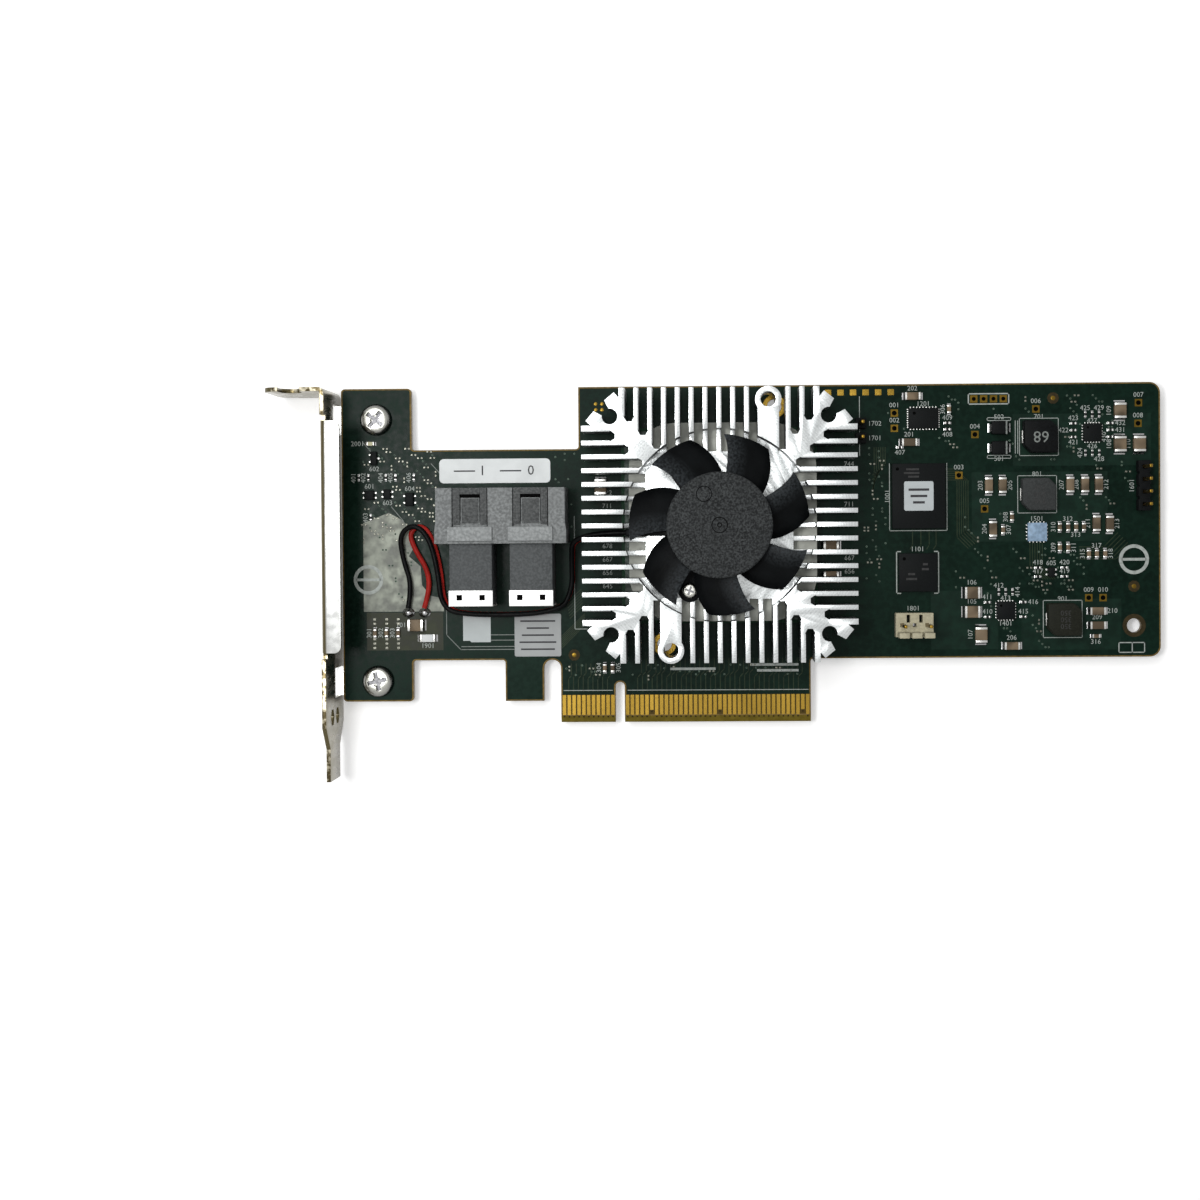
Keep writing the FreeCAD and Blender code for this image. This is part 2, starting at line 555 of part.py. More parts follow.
def heat_sink():
    base = block("sink_block", ("sink_size", "sink_size", "sink_height"), ("sink_x", "sink_y", SINK_LOW))
    tools = sink_slots()
    for sign_x in (1, -1):
        for sign_y in (1, -1):
            tools += hook_cut(sign_x, sign_y)
    straps, holes = [], []
    gap = "(3*fin_pitch - fin_thickness)"
    for way in "+-":
        middle = f"sink_x {way} 3.5*fin_pitch"
        length = "(sink_size/2 + fin_pitch - core_size/2)"
        tools.append(block("strap_bay", (gap, length, "sink_height"),
                           (middle, f"sink_y {way} (core_size/2 + {length}/2)", SINK_LOW)))
        ear = (f"sink_x {way} strap_offset", f"sink_y {way} ear_distance", SINK_LOW)
        run = "(ear_distance - core_size/2 + fin_thickness)"
        straps.append(block("ear_strap", ("strap_width", run, "sink_height"),
                            (ear[0], f"sink_y {way} (ear_distance - {run}/2)", SINK_LOW)))
        straps.append(prism("ear_ring", 24, "ear_radius", "sink_height", ear))
        holes.append(prism("ear_hole", 18, "ear_hole_radius", "sink_height", ear))
    holes.append(rod("fan_recess", "recess_radius", "sink_height", ("sink_x", "sink_y", FLOOR)))
    for x, y in fan_screw_places():
        depth = "(fan_shank_length - base_thickness + thread_fit)"
        holes.append(prism("fan_thread", 8, "fan_shank_radius + thread_fit", depth,
                           (x, y, f"{FLOOR} - {depth}")))
    fins = cut("sink_fins", base, *tools)
    keep(cut("heat_sink", fuse("sink_with_straps", fins, *straps), *holes), "heat_sink")


# Fan


def fan_screw_places():
    return [(f"(sink_x + screw_circle*{cos(radians(angle)):.6f})",
             f"(sink_y + screw_circle*{sin(radians(angle)):.6f})") for angle in ARM_ANGLES]


WIRE_SLOT = "(sink_y - fin_pitch/2)"


def fan_base():
    """Base disc with a bearing tube, three screwed arms and a guide that holds the wires in a slot."""
    axis = ("sink_x", "sink_y")
    solids = [prism("base_disc", 24, "base_radius", "base_thickness", (*axis, FLOOR)),
              prism("bearing_tube", 16, "tube_radius", "tube_height", (*axis, FLOOR), 11.25)]
    for angle, (x, y) in zip(ARM_ANGLES, fan_screw_places()):
        middle = (f"(sink_x + screw_circle/2*{cos(radians(angle)):.6f})",
                  f"(sink_y + screw_circle/2*{sin(radians(angle)):.6f})", FLOOR)
        solids.append(block("base_arm", ("screw_circle", "arm_width", "base_thickness"), middle, angle))
        solids.append(prism("arm_boss", 16, "boss_radius", "base_thickness", (x, y, FLOOR), angle))
    length = "(guide_reach - base_radius + arm_width/2)"
    solids.append(block("wire_arm", (length, "guide_width", "base_thickness"),
                        (f"sink_x - guide_reach + {length}/2", WIRE_SLOT, FLOOR)))
    solids.append(block("wire_guide", ("guide_length", "guide_width", "guide_height"),
                        ("sink_x - guide_reach + guide_length/2", WIRE_SLOT, f"{FLOOR} - guide_drop")))
    tools = [prism("bearing_seat", 12, "sleeve_radius + seat_gap", "tube_height",
                   (*axis, f"{FLOOR} + bore_floor"))]
    for x, y in fan_screw_places():
        tools.append(prism("arm_hole", 8, "fan_shank_radius + thread_fit", "base_thickness", (x, y, FLOOR)))
    keep(cut("fan_base", fuse("base_shape", *solids), *tools), "fan_base")


def fan_inside():
    axis = ("sink_x", "sink_y")
    sleeve_low = f"{FLOOR} + bore_floor"
    sleeve = prism("sleeve", 12, "sleeve_radius", "sleeve_length", (*axis, sleeve_low))
    bore = rod("sleeve_bore", "shaft_radius + running_gap", "sleeve_length", (*axis, sleeve_low))
    keep(cut("fan_bearing", sleeve, bore), "fan_bearing")
    low = f"{FLOOR} + stator_low"
    across = "2*stator_radius"
    arms = [block("pole_pair", (across, "pole_width", "stator_height"), (*axis, low)),
            block("pole_pair", ("pole_width", across, "stator_height"), (*axis, low)),
            prism("stator_ring", 8, "yoke_ring", "stator_height", (*axis, low), 22.5)]
    for way in "+-":
        reach = f"{way} (stator_radius - shoe_depth/2)"
        arms.append(block("pole_shoe", ("shoe_depth", "shoe_width", "stator_height"),
                          (f"sink_x {reach}", "sink_y", low)))
        arms.append(block("pole_shoe", ("shoe_width", "shoe_depth", "stator_height"),
                          ("sink_x", f"sink_y {reach}", low)))
    hole = prism("stator_hole", 16, "tube_radius + seat_gap", "stator_height", (*axis, low), 11.25)
    keep(cut("fan_stator", fuse("stator_arms", *arms), hole), "fan_stator")
    coils = []
    length = "(stator_radius - shoe_depth - yoke_ring - 2*coil_gap)"
    reach = f"(yoke_ring + coil_gap + {length}/2)"
    slot = ("(pole_width + 2*coil_gap)", "(stator_height + 2*coil_gap)")
    for turn, way in ((0, "+"), (0, "-"), (1, "+"), (1, "-")):
        place = [f"sink_x {way} {reach}", "sink_y"] if turn == 0 else ["sink_x", f"sink_y {way} {reach}"]
        footprint = [length, f"{slot[0]} + 2*coil_wall"]
        hollow = [length, slot[0]]
        if turn:
            footprint.reverse()
            hollow.reverse()
        winding = block("winding", (*footprint, f"{slot[1]} + 2*coil_wall/3"),
                        (*place, f"{low} - coil_gap - coil_wall/3"))
        coils.append(cut("coil", winding,
                         block("coil_slot", (*hollow, slot[1]), (*place, f"{low} - coil_gap"))))
    keep(group("fan_coils", coils), "fan_coils")
    head, shank = ("fan_head_radius", "fan_head_height"), ("fan_shank_radius", "fan_shank_length")
    screws = [screw("fan_screw", 12, head, shank, (x, y, f"({FLOOR} + base_thickness)"))
              for x, y in fan_screw_places()]
    keep(group("fan_screws", screws), "fan_screws")


def blade_section(distance, trailing, leading):
    """Corners of a thin bowed section, square to the blade's own radius; its rise goes with its chord."""
    chord = leading - trailing
    lower = []
    for share in (0, 0.5, 1):
        rise = share * value("blade_slope") + 4 * share * (1 - share) * value("blade_bow")
        lower.append(FreeCAD.Vector(distance, trailing + share * chord, value("blade_low") + rise * chord))
    lift = FreeCAD.Vector(0, 0, value("blade_thickness"))
    return lower + [corner + lift for corner in reversed(lower)]


def fan_blade(turn):
    """A blade with flat strips between its root and tip sections, which are alike in form."""
    root = blade_section(value("hub_radius - hub_wall/2"), -value("root_trail"), value("root_lead"))
    tip = blade_section(value("blade_tip + blade_over"), -value("tip_trail"), value("tip_lead"))
    count = len(root)
    sides = [[root[i], root[(i + 1) % count], tip[(i + 1) % count], tip[i]] for i in range(count)]
    faces = [Part.Face(Part.makePolygon(side + side[:1])) for side in sides + [root, tip]]
    item = doc.addObject("Part::Feature", "fan_blade")
    item.Shape = Part.makeSolid(Part.makeShell(faces))
    item.Placement.Rotation = FreeCAD.Rotation(FreeCAD.Vector(0, 0, 1), turn)
    return seat(item, "sink_x", "sink_y", FLOOR)


def fan_rotor():
    """Hub cup that grips the shaft, and blades that are trimmed to one tip radius."""
    hub = doc.addObject("PartDesign::Body", "fan_hub")
    inner = "(hub_radius - hub_wall)"
    roof = "(hub_top - hub_roof)"
    grip = "(shaft_radius + seat_gap)"
    half = sketch(hub, "hub_profile", "XZ_Plane")
    outline(half, [
        ("0", f"{roof} + shaft_grip"), (grip, f"{roof} + shaft_grip"), (grip, roof), (inner, roof),
        (inner, "hub_low"), ("hub_radius", "hub_low"), ("hub_radius", "hub_top"), ("0", "hub_top")])
    revolve(hub, half)
    seat(hub, "sink_x", "sink_y", FLOOR)
    step = 360 / SIZES["blade_count"]
    blades = [fan_blade(BLADE_TURN + index * step) for index in range(SIZES["blade_count"])]
    trim = rod("blade_trim", "blade_tip", "2*hub_top", ("sink_x", "sink_y", FLOOR))
    keep(common("fan_rotor", fuse("rotor_shape", hub, *blades), trim), "fan_rotor")


def rotor_inside():
    axis = ("sink_x", "sink_y")
    shaft_low = f"({FLOOR} + bore_floor + thrust_gap)"
    shaft_high = f"({FLOOR} + hub_top - hub_roof + shaft_grip)"
    keep(rod("fan_shaft", "shaft_radius", f"{shaft_high} - {shaft_low}", (*axis, shaft_low)), "fan_shaft")
    at = (*axis, f"{FLOOR} + magnet_low")
    ring = prism("magnet_ring", 24, f"(hub_radius - hub_wall - magnet_gap)*{cos(pi/24):.6f}",
                 "magnet_height", at)
    hole = prism("magnet_hole", 24, "magnet_inner", "magnet_height", at)
    keep(cut("fan_magnet", ring, hole), "fan_magnet")


# Fan wires, each a tube along straight runs joined by arcs. The points are places on the board and
# heights over its component side.
BLACK_ROUTE = [
    (1.70, 38.93, 7.80), (-9.20, 38.95, 7.00), (-9.60, 33.20, 3.00), (-9.50, 27.60, 2.25),
    (-12.10, 22.50, 2.20), (-32.40, 22.20, 2.20), (-36.50, 24.30, 2.22), (-37.10, 31.20, 2.15),
    (-38.80, 38.20, 2.25), (-41.90, 41.10, 2.25), (-45.10, 39.00, 1.60), (-44.40, 33.60, 0.97),
    (-42.60, 28.40, 0.95), (-43.50, 23.70, 1.10),
]
RED_ROUTE = [
    (1.70, 38.93, 6.40), (-8.90, 38.95, 5.30), (-9.30, 33.00, 1.30), (-9.30, 27.60, 0.92),
    (-12.10, 22.60, 0.90), (-32.40, 22.30, 0.90), (-36.20, 24.40, 0.92), (-36.60, 31.40, 0.90),
    (-38.40, 38.40, 0.92), (-40.80, 41.00, 0.90), (-43.20, 39.20, 0.92), (-41.90, 35.60, 0.90),
    (-39.40, 31.60, 0.92), (-39.00, 27.40, 0.90), (-40.15, 23.70, 1.10),
]


def wire_section(middle, along):
    """Five-sided, with the area of the round wire."""
    sides = 5
    radius = SIZES["wire_diameter"] / 2 * sqrt(2 * pi / (sides * sin(2 * pi / sides)))
    turn = FreeCAD.Rotation(FreeCAD.Vector(0, 0, 1), along)
    around = [2 * pi * step / sides for step in range(sides + 1)]
    spokes = [FreeCAD.Vector(radius * cos(angle), radius * sin(angle), 0) for angle in around]
    return Part.Face(Part.makePolygon([middle + turn.multVec(spoke) for spoke in spokes]))


def fan_wire(name, route):
    """Sweeps the section along straight runs and tangent arcs, which are as large as the runs allow."""
    points = [FreeCAD.Vector(x, y, z + value(TOP)) for x, y, z in route]
    section = wire_section(points[0], points[1] - points[0])
    start, length, pieces, radii = points[0], 0, [], []
    for before, corner, after in zip(points, points[1:], points[2:]):
        arriving, leaving = corner - before, after - corner
        turn = arriving.getAngle(leaving)
        reach = 0.45 * min(arriving.Length, leaving.Length)
        radii.append(reach / tan(turn / 2))
        axis = arriving.cross(leaving).normalize()
        entry = corner - arriving.normalize() * reach
        centre = entry + axis.cross(arriving) * radii[-1]
        pieces.append(section.extrude(entry - start))
        section.translate(entry - start)
        pieces.append(section.revolve(centre, axis, degrees(turn)))
        section.rotate(centre, axis, degrees(turn))
        length += (entry - start).Length + radii[-1] * turn
        start = corner + leaving.normalize() * reach
    pieces.append(section.extrude(points[-1] - start))
    length += (points[-1] - start).Length
    item = doc.addObject("Part::Feature", name)
    item.Shape = pieces[0].multiFuse(pieces[1:])
    item.Placement = FreeCAD.Placement()
    expected = pi * SIZES["wire_diameter"] ** 2 / 4 * length
    print(f"{name}: length {length:.2f}, volume {item.Shape.Volume:.3f}, expected {expected:.3f}, radii",
          " ".join(f"{radius:.1f}" for radius in radii))
    keep(item, name)


def wire_joints():
    """Mounds of solder that the two wires end over."""
    joints = []
    for route in (BLACK_ROUTE, RED_ROUTE):
        x, y, z = route[-1]
        joints.append(prism("wire_joint", 8, "joint_radius", "joint_height",
                            (x, f"{y} - joint_radius", TOP)))
    keep(group("wire_joints", joints), "wire_joints")


# Internal ports


def port_shroud():
    """One double shroud: two mouths to the rear edge, a latch plate and a bar over each port."""
    middle = f"({MOUTH} - shroud_length/2)"
    solids = [block("shroud_block", ("shroud_width", "shroud_length", "shroud_height"),
                    ("ports_x", middle, TOP)),
              block("shroud_flange", ("shroud_width + 2*shroud_flare", "flare_length", "shroud_height"),
                    ("ports_x", f"{SHROUD_BACK} + flare_length/2", TOP))]
    tools = []
    for x in PORTS:
        tools.append(block("port_cavity", ("cavity_width", "shroud_length", "cavity_height"),
                           (x, middle, f"{TOP} + cavity_floor")))
        top = f"({TOP} + shroud_height)"
        length = "(shroud_length - bar_rise - bar_length)"
        tools.append(block("latch_plate", ("latch_width", length, "latch_depth"),
                           (x, f"{MOUTH} - {length}/2", f"{top} - latch_depth")))
        tools.append(block("latch_catch", ("catch_width", "catch_length", "catch_depth"),
                           (x, f"{MOUTH} - catch_setback - catch_length/2",
                            f"{top} - latch_depth - catch_depth")))
        solids.append(block("latch_bar", ("bar_width", "bar_length", "bar_height + latch_depth"),
                            (x, f"{SHROUD_BACK} + bar_rise + bar_length/2", f"{top} - latch_depth")))
    keep(cut("port_shroud", fuse("shroud_shape", *solids), *tools), "port_shroud")


def port_body(index, x):
    """A port's rear body, with a nose in the shroud that has two slots for the plug's cards."""
    back = f"({SHROUD_BACK} - body_length)"
    body = block("body_block", ("body_width", "body_length", "body_height"),
                 (x, f"{back} + body_length/2", TOP))
    nose_low = f"({TOP} + cavity_floor + nose_fit)"
    nose_height = "(cavity_height - 2*nose_fit)"
    nose = block("body_nose", ("cavity_width - 2*nose_fit", "nose_length", nose_height),
                 (x, f"{SHROUD_BACK} + nose_length/2", nose_low))
    slots, contacts = [], []
    for way in (-0.5, 0.5):
        low = f"({nose_low} + {nose_height}/2 + {way}*card_slot_pitch - card_slot_height/2)"
        middle = f"({SHROUD_BACK} + nose_length - card_slot_depth/2)"
        slots.append(block("card_slot", ("card_slot_width", "card_slot_depth", "card_slot_height"),
                           (x, middle, low)))
        for step in range(-2, 3):
            contacts.append(block("port_contact",
                                  ("port_contact_width", "card_slot_depth", "port_contact_height"),
                                  (f"{x} + {step}*port_contact_pitch", middle, low)))
    keep(cut(f"port_body_{index}", fuse("body_shape", body, nose), *slots), f"port_body_{index}")
    keep(group(f"port_contacts_{index}", contacts), f"port_contacts_{index}")
    top = f"({TOP} + body_height)"
    band = block("clip_band", ("clip_width", "clip_band + clip_thickness", "clip_thickness"),
                 (x, f"{back} + (clip_band - clip_thickness)/2", top))
    wall = block("clip_wall", ("clip_width", "clip_thickness", "body_height + clip_thickness"),
                 (x, f"{back} - clip_thickness/2", TOP))
    holes = [block("clip_hole", ("clip_hole", "clip_hole", "clip_thickness"),
                   (f"{x} + {way}*clip_hole_pitch", f"{back} + clip_band/2", top)) for way in (-0.5, 0.5)]
    keep(cut(f"port_clip_{index}", fuse("clip_shape", band, wall), *holes), f"port_clip_{index}")


def labels():
    keep(block("port_label", ("port_label_length", "port_label_width", "label_thickness"),
               ("ports_x - port_pitch/6", f"{MOUTH} + port_label_gap + port_label_width/2", TOP)),
         "port_label")
    keep(block("board_label", ("board_label_length", "board_label_width", "label_thickness"),
               (f"{PORTS[0]} + board_label_length/20",
                "shoulder + board_label_width/2 + label_margin", TOP)),
         "board_label")


# Chips and other board parts


def chip(name, area, x, y, length, width, height):
    keep(block(name, (length, width, height), (*spot(area, x, y), TOP)), name)


def chips():
    chip("memory_chip", "power", 61.3, 46.0, "memory_length", "memory_width", "memory_height")
    paper_at = spot("power", 61.3, 46.0)
    keep(block("memory_paper", ("paper_size", "paper_size", "paper_thickness"),
               (*paper_at, f"{TOP} + memory_height")), "memory_paper")
    chip("flash_chip", "power", 61.1, 30.4, "flash_size", "flash_size", "flash_height")
    chip("clock_chip", "power", 62.4, 61.9, "clock_length", "clock_width", "clock_height")
    chip("power_chip_1", "power", 96.7, 58.7, "power_chip_size", "power_chip_size", "power_chip_height")
    chip("power_chip_2", "power", 79.0, 22.5, "power_chip_size", "power_chip_size", "power_chip_height")
    chip("power_stage", "power", 85.4, 38.5, "stage_length", "stage_width", "stage_height")


def small_chips():
    """Small outline chips on bent leads: length, width, and which way the leads point."""
    packages = [("power", 88.3, 30.3, 1.3, 2.0, 3), ("near", -50.4, 54.6, 1.3, 2.8, 2),
                ("near", -51.4, 47.0, 2.0, 2.0, 3), ("near", -47.7, 47.2, 1.5, 2.0, 3),
                ("near", -43.1, 46.1, 1.7, 2.75, 3)]
    bodies, leads = [], []
    for area, x, y, length, width, count in packages:
        at = spot(area, x, y)
        bodies.append(block("small_body", (length, width, "small_chip_height"),
                            (*at, f"{TOP} + small_chip_lift")))
        for way, number in (("+", count - 1), ("-", 2)):
            for index in range(number):
                along = (index - (number - 1) / 2) * width / 2
                leads.append(block("small_lead", ("lead_reach", "lead_width", "lead_thickness"),
                                   (f"{at[0]} {way} ({length}/2 + lead_reach/2)",
                                    f"{at[1]} + {along:.3f}", TOP)))
    keep(group("small_chips", bodies), "small_chips")
    keep(group("small_chip_leads", leads), "small_chip_leads")


def inductors():
    """Moulded blocks with two cut corners, and plated terminals at the two plain sides."""
    terminals = []
    for index, (x, y) in enumerate(((85.9, 57.9), (85.5, 46.2), (90.6, 20.7)), start=1):
        at = spot("power", x, y)
        body = doc.addObject("PartDesign::Body", f"inductor_{index}")
        flat = sketch(body, f"inductor_outline_{index}")
        a, b, c = "coil_body_length/2", "coil_body_width/2", "coil_body_chamfer"
        outline(flat, [(f"{c} - {a}", f"-{b}"), (a, f"-{b}"), (a, f"{b} - {c}"), (f"{a} - {c}", b),
                       (f"-{a}", b), (f"-{a}", f"{c} - {b}")])
        pad(body, flat, "coil_body_height")
        keep(seat(body, *at, TOP), f"inductor_{index}")
        for way in "+-":
            terminals.append(block("terminal", ("terminal_thickness", "terminal_width", "terminal_height"),
                                   (f"{at[0]} {way} ({a} + terminal_thickness/2)", at[1], TOP)))
    keep(group("inductor_terminals", terminals), "inductor_terminals")


UPRIGHT, FLAT = "upright", "flat"


def passives(name, kind, *rows, beside=()):
    """A group of like chip parts. Each row is an area, a direction and the places in that area."""
    items = list(beside)
    for area, direction, places in rows:
        length, width = f"{kind}_length", f"{kind}_width"
        if direction == UPRIGHT:
            length, width = width, length
        for x, y in places:
            items.append(block(name + "_part", (length, width, f"{kind}_height"), (*spot(area, x, y), TOP)))
    keep(group(name, items), name)


def chip_parts():
    passives("tantalum_capacitors", "tantalum", ("power", FLAT, [(77.8, 59.8), (77.8, 55.7)]))
    bulk = ("bulk_length", "bulk_width", "bulk_height")
    upright = ("bulk_width", "bulk_length", "bulk_height")
    right = "(sink_x + chip_size/2 + bulk_gap + bulk_length/2)"
    left = "(sink_x - chip_size/2 - bulk_far_gap - bulk_width/2)"
    beside = [block("bulk_part", bulk, (right, f"sink_y - {share}*chip_size", TOP))
              for share in (0.1125, 0.2675)]
    beside.append(block("bulk_part", upright, (left, "sink_y + 0.2025*chip_size", TOP)))
    passives("bulk_capacitors", "bulk",
             ("power", UPRIGHT, [(102.2, 63.1), (102.2, 56.3), (106.1, 56.3), (73.9, 17.6)]),
             ("power", FLAT, [(72.1, 26.2), (72.1, 22.3)]),
             ("near", FLAT, [(-42.0, 20.2)]), beside=beside)
    passives("filter_capacitors", "filter",
             ("power", UPRIGHT, [(x, 48.1) for x in (75.6, 78.4, 92.1, 95.1, 97.9)]
              + [(97.4, 40.2), (100.1, 40.1), (76.4, 39.2)]),
             ("power", FLAT, [(59.5, 57.0), (97.6, 22.3), (97.6, 19.4), (60.2, 66.4), (80.2, 15.3)]))
    passives("bypass_capacitors", "bypass",
             ("power", UPRIGHT, [(67.6, 63.7), (90.0, 39.5), (91.7, 39.5), (93.3, 39.5), (94.9, 39.5),
                                 (90.0, 35.3), (91.7, 35.3), (95.9, 34.0), (97.5, 34.0), (99.2, 34.0),
                                 (78.5, 39.0), (80.3, 41.6)]),
             ("power", FLAT, [(97.3, 17.2)]),
             ("near", UPRIGHT, [(-50.5, 18.6), (-48.1, 18.6), (-45.7, 18.6)]),
             ("tongue", UPRIGHT, [(-3.1, 11.2), (-1.5, 11.2)]))
    passives("chip_resistors", "resistor",
             ("power", FLAT, [(x, y) for x in (92.9, 100.4) for y in (60.6, 59.2, 57.8)]
              + [(x, y) for x in (75.3, 82.6) for y in (24.2, 21.2)]
              + [(x, y) for x in (85.6, 91.0) for y in (31.2, 29.4)]
              + [(67.3, 60.9), (67.3, 59.6), (57.6, 56.0)]),
             ("power", UPRIGHT, [(x, y) for x in (95.3, 96.7, 98.1) for y in (62.4, 54.6)]
              + [(x, 26.3) for x in (77.6, 79.0, 80.4)]),
             ("near", UPRIGHT, [(x, 50.6) for x in (-53.6, -51.6, -48.0, -46.0, -42.2)]
              + [(-51.2, 42.4)]))
    at = spot("near", -39.6, 17.5)
    keep(block("fuse", ("filter_length", "filter_width", "fuse_height"), (*at, TOP)), "fuse")
    at = spot("near", -51.1, 57.6)
    keep(block("status_light", ("bypass_length", "bypass_width", "light_height"), (*at, TOP)),
         "status_light")


def pins(name, places, top):
    """Square pins through the board, with tails on the solder side."""
    low = f"({UNDER} - pin_tail)"
    items = [block("pin", ("pin_width", "pin_width", f"{TOP} + {top} - {low}"), (x, y, low))
             for x, y in places]
    keep(group(name, items), name)


def pin_slots(places, height):
    width = "(pin_width + 2*pin_fit)"
    return [block("pin_slot", (width, width, height), (x, y, TOP)) for x, y in places]


def headers():
    length = "(4*pin_pitch)"
    base = block("service_block", ("service_width", length, "service_height"), (*SERVICE, TOP))
    grooves = [block("service_notch", ("service_groove", "service_groove", "service_height"),
                     (f"{SERVICE[0]} {way} service_width/2", f"{SERVICE[1]} + {step}*pin_pitch", TOP))
               for way in "+-" for step in (-1, 0, 1)]
    keep(cut("service_header", base, *grooves, *pin_slots(SERVICE_PINS, "service_height")), "service_header")
    pins("service_pins", SERVICE_PINS, "service_pin_top")
    bases = [cut("jumper_base", block("jumper_block", ("jumper_width", "jumper_width", "jumper_height"),
                                      (x, y, TOP)), *pin_slots([(x, y)], "jumper_height"))
             for x, y in JUMPERS]
    keep(group("jumper_header", bases), "jumper_header")
    pins("jumper_pins", JUMPERS, "jumper_pin_top")
    x, y = FAN_HEADER
    base = block("header_block", ("3*pin_pitch + header_margin", "header_depth", "header_base"), (x, y, TOP))
    wall_y = f"{y} - header_depth/2 + header_wall/2"
    fingers = [block("header_finger", ("pin_pitch - header_finger_gap", "header_wall", "header_wall_top"),
                     (f"{x} + {step}*pin_pitch", wall_y, TOP)) for step in (-1, 0, 1)]
    slits = [block("header_slit", ("header_slit", "header_slit_length", "header_base"),
                   (f"{x} + {step}*pin_pitch",
                    f"{y} + header_depth/2 - header_slit_length/2 - header_slit/2",
                    TOP)) for step in (-0.5, 0.5)]
    keep(cut("fan_header", fuse("header_shape", base, *fingers), *slits,
             *pin_slots(HEADER_PINS, "header_base")), "fan_header")
    pins("fan_header_pins", [HEADER_PINS[0], HEADER_PINS[2]], "header_pin_top")


def build():
    circuit_board()
    edge_contacts()
    bracket()
    bracket_screws()
    controller()
    heat_sink()
    fan_base()
    fan_inside()
    fan_rotor()
    rotor_inside()
    fan_wire("fan_wire_black", BLACK_ROUTE)
    fan_wire("fan_wire_red", RED_ROUTE)
    wire_joints()
    port_shroud()
    for index, x in enumerate(PORTS):
        port_body(index, x)
    labels()
    chips()
    small_chips()
    inductors()
    chip_parts()
    headers()
    doc.recompute()


def write():
    """Stops at any failed object, then writes each sub-part to its own file."""
    failed = [item.Name for item in doc.Objects if {"Invalid", "Error"} & set(item.State)]
    failed += [item.Label for item in SUB_PARTS if item.Shape.isNull() or not item.Shape.isValid()]
    if failed:
        raise RuntimeError(f"these objects failed: {failed}")
    os.makedirs("parts", exist_ok=True)
    for item in SUB_PARTS:
        item.Shape.exportStep(f"parts/{item.Label}.step")
        print(f"{item.Label}: {len(item.Shape.Solids)} solids, {item.Shape.Volume:.2f} mm3")


build()
write()
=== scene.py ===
from math import cos, pi, radians, sin

import bmesh
import bpy
from bpy.props import FloatProperty, FloatVectorProperty, PointerProperty
from mathutils import Matrix, Vector
from mathutils.bvhtree import BVHTree


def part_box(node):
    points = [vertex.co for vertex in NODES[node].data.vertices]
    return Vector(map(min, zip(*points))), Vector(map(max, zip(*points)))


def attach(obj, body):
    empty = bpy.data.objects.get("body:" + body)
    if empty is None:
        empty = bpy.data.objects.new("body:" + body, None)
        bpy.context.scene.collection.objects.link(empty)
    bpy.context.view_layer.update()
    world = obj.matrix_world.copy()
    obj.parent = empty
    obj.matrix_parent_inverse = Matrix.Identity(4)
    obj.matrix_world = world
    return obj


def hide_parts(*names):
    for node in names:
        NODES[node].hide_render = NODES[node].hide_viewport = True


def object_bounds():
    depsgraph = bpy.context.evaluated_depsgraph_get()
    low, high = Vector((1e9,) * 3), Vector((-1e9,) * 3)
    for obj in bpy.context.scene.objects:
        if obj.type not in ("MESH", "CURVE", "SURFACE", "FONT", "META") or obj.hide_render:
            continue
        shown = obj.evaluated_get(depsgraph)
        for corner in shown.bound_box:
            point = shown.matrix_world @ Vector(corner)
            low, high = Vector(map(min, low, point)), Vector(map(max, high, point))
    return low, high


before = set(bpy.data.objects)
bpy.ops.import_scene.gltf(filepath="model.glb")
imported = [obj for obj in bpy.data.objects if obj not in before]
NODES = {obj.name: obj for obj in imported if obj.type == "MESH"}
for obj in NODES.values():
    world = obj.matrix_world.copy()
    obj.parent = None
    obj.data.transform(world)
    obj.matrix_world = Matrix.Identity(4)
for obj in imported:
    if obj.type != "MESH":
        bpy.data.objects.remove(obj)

bl_info = {
    "name": "Plug-in card with fan cooler",
    "version": (1, 0, 0),
    "blender": (4, 5, 0),
    "location": "3D View > Sidebar > Card",
    "description": "Dresses the solids of a plug-in card: board, bracket, cooler, fan, ports and chip parts",
    "category": "Object",
}

CAD_BOX = [list(corner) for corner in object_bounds()]
MM = 0.001


def box(node):
    """The lowest and the highest corner of a solid at rest, in millimetres."""
    return tuple(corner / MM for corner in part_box(node))


def middle(low, high):
    """The middle of a box as it is seen from above."""
    return (low.x + high.x) / 2, (low.y + high.y) / 2


UNDER, TOP = (corner.z for corner in box("circuit_board"))
AXIS = middle(*box("fan_magnet"))


# Settings that a user would change


def colour(name, text, value):
    return FloatVectorProperty(name=name, description=text, subtype="COLOR", size=3, min=0, max=1,
                               default=value)


def length(name, text, value):
    return FloatProperty(name=name, description=text, subtype="DISTANCE", unit="LENGTH", min=0, default=value)


def power(name, text, value):
    return FloatProperty(name=name, description=text, subtype="POWER", unit="POWER", min=0, default=value)


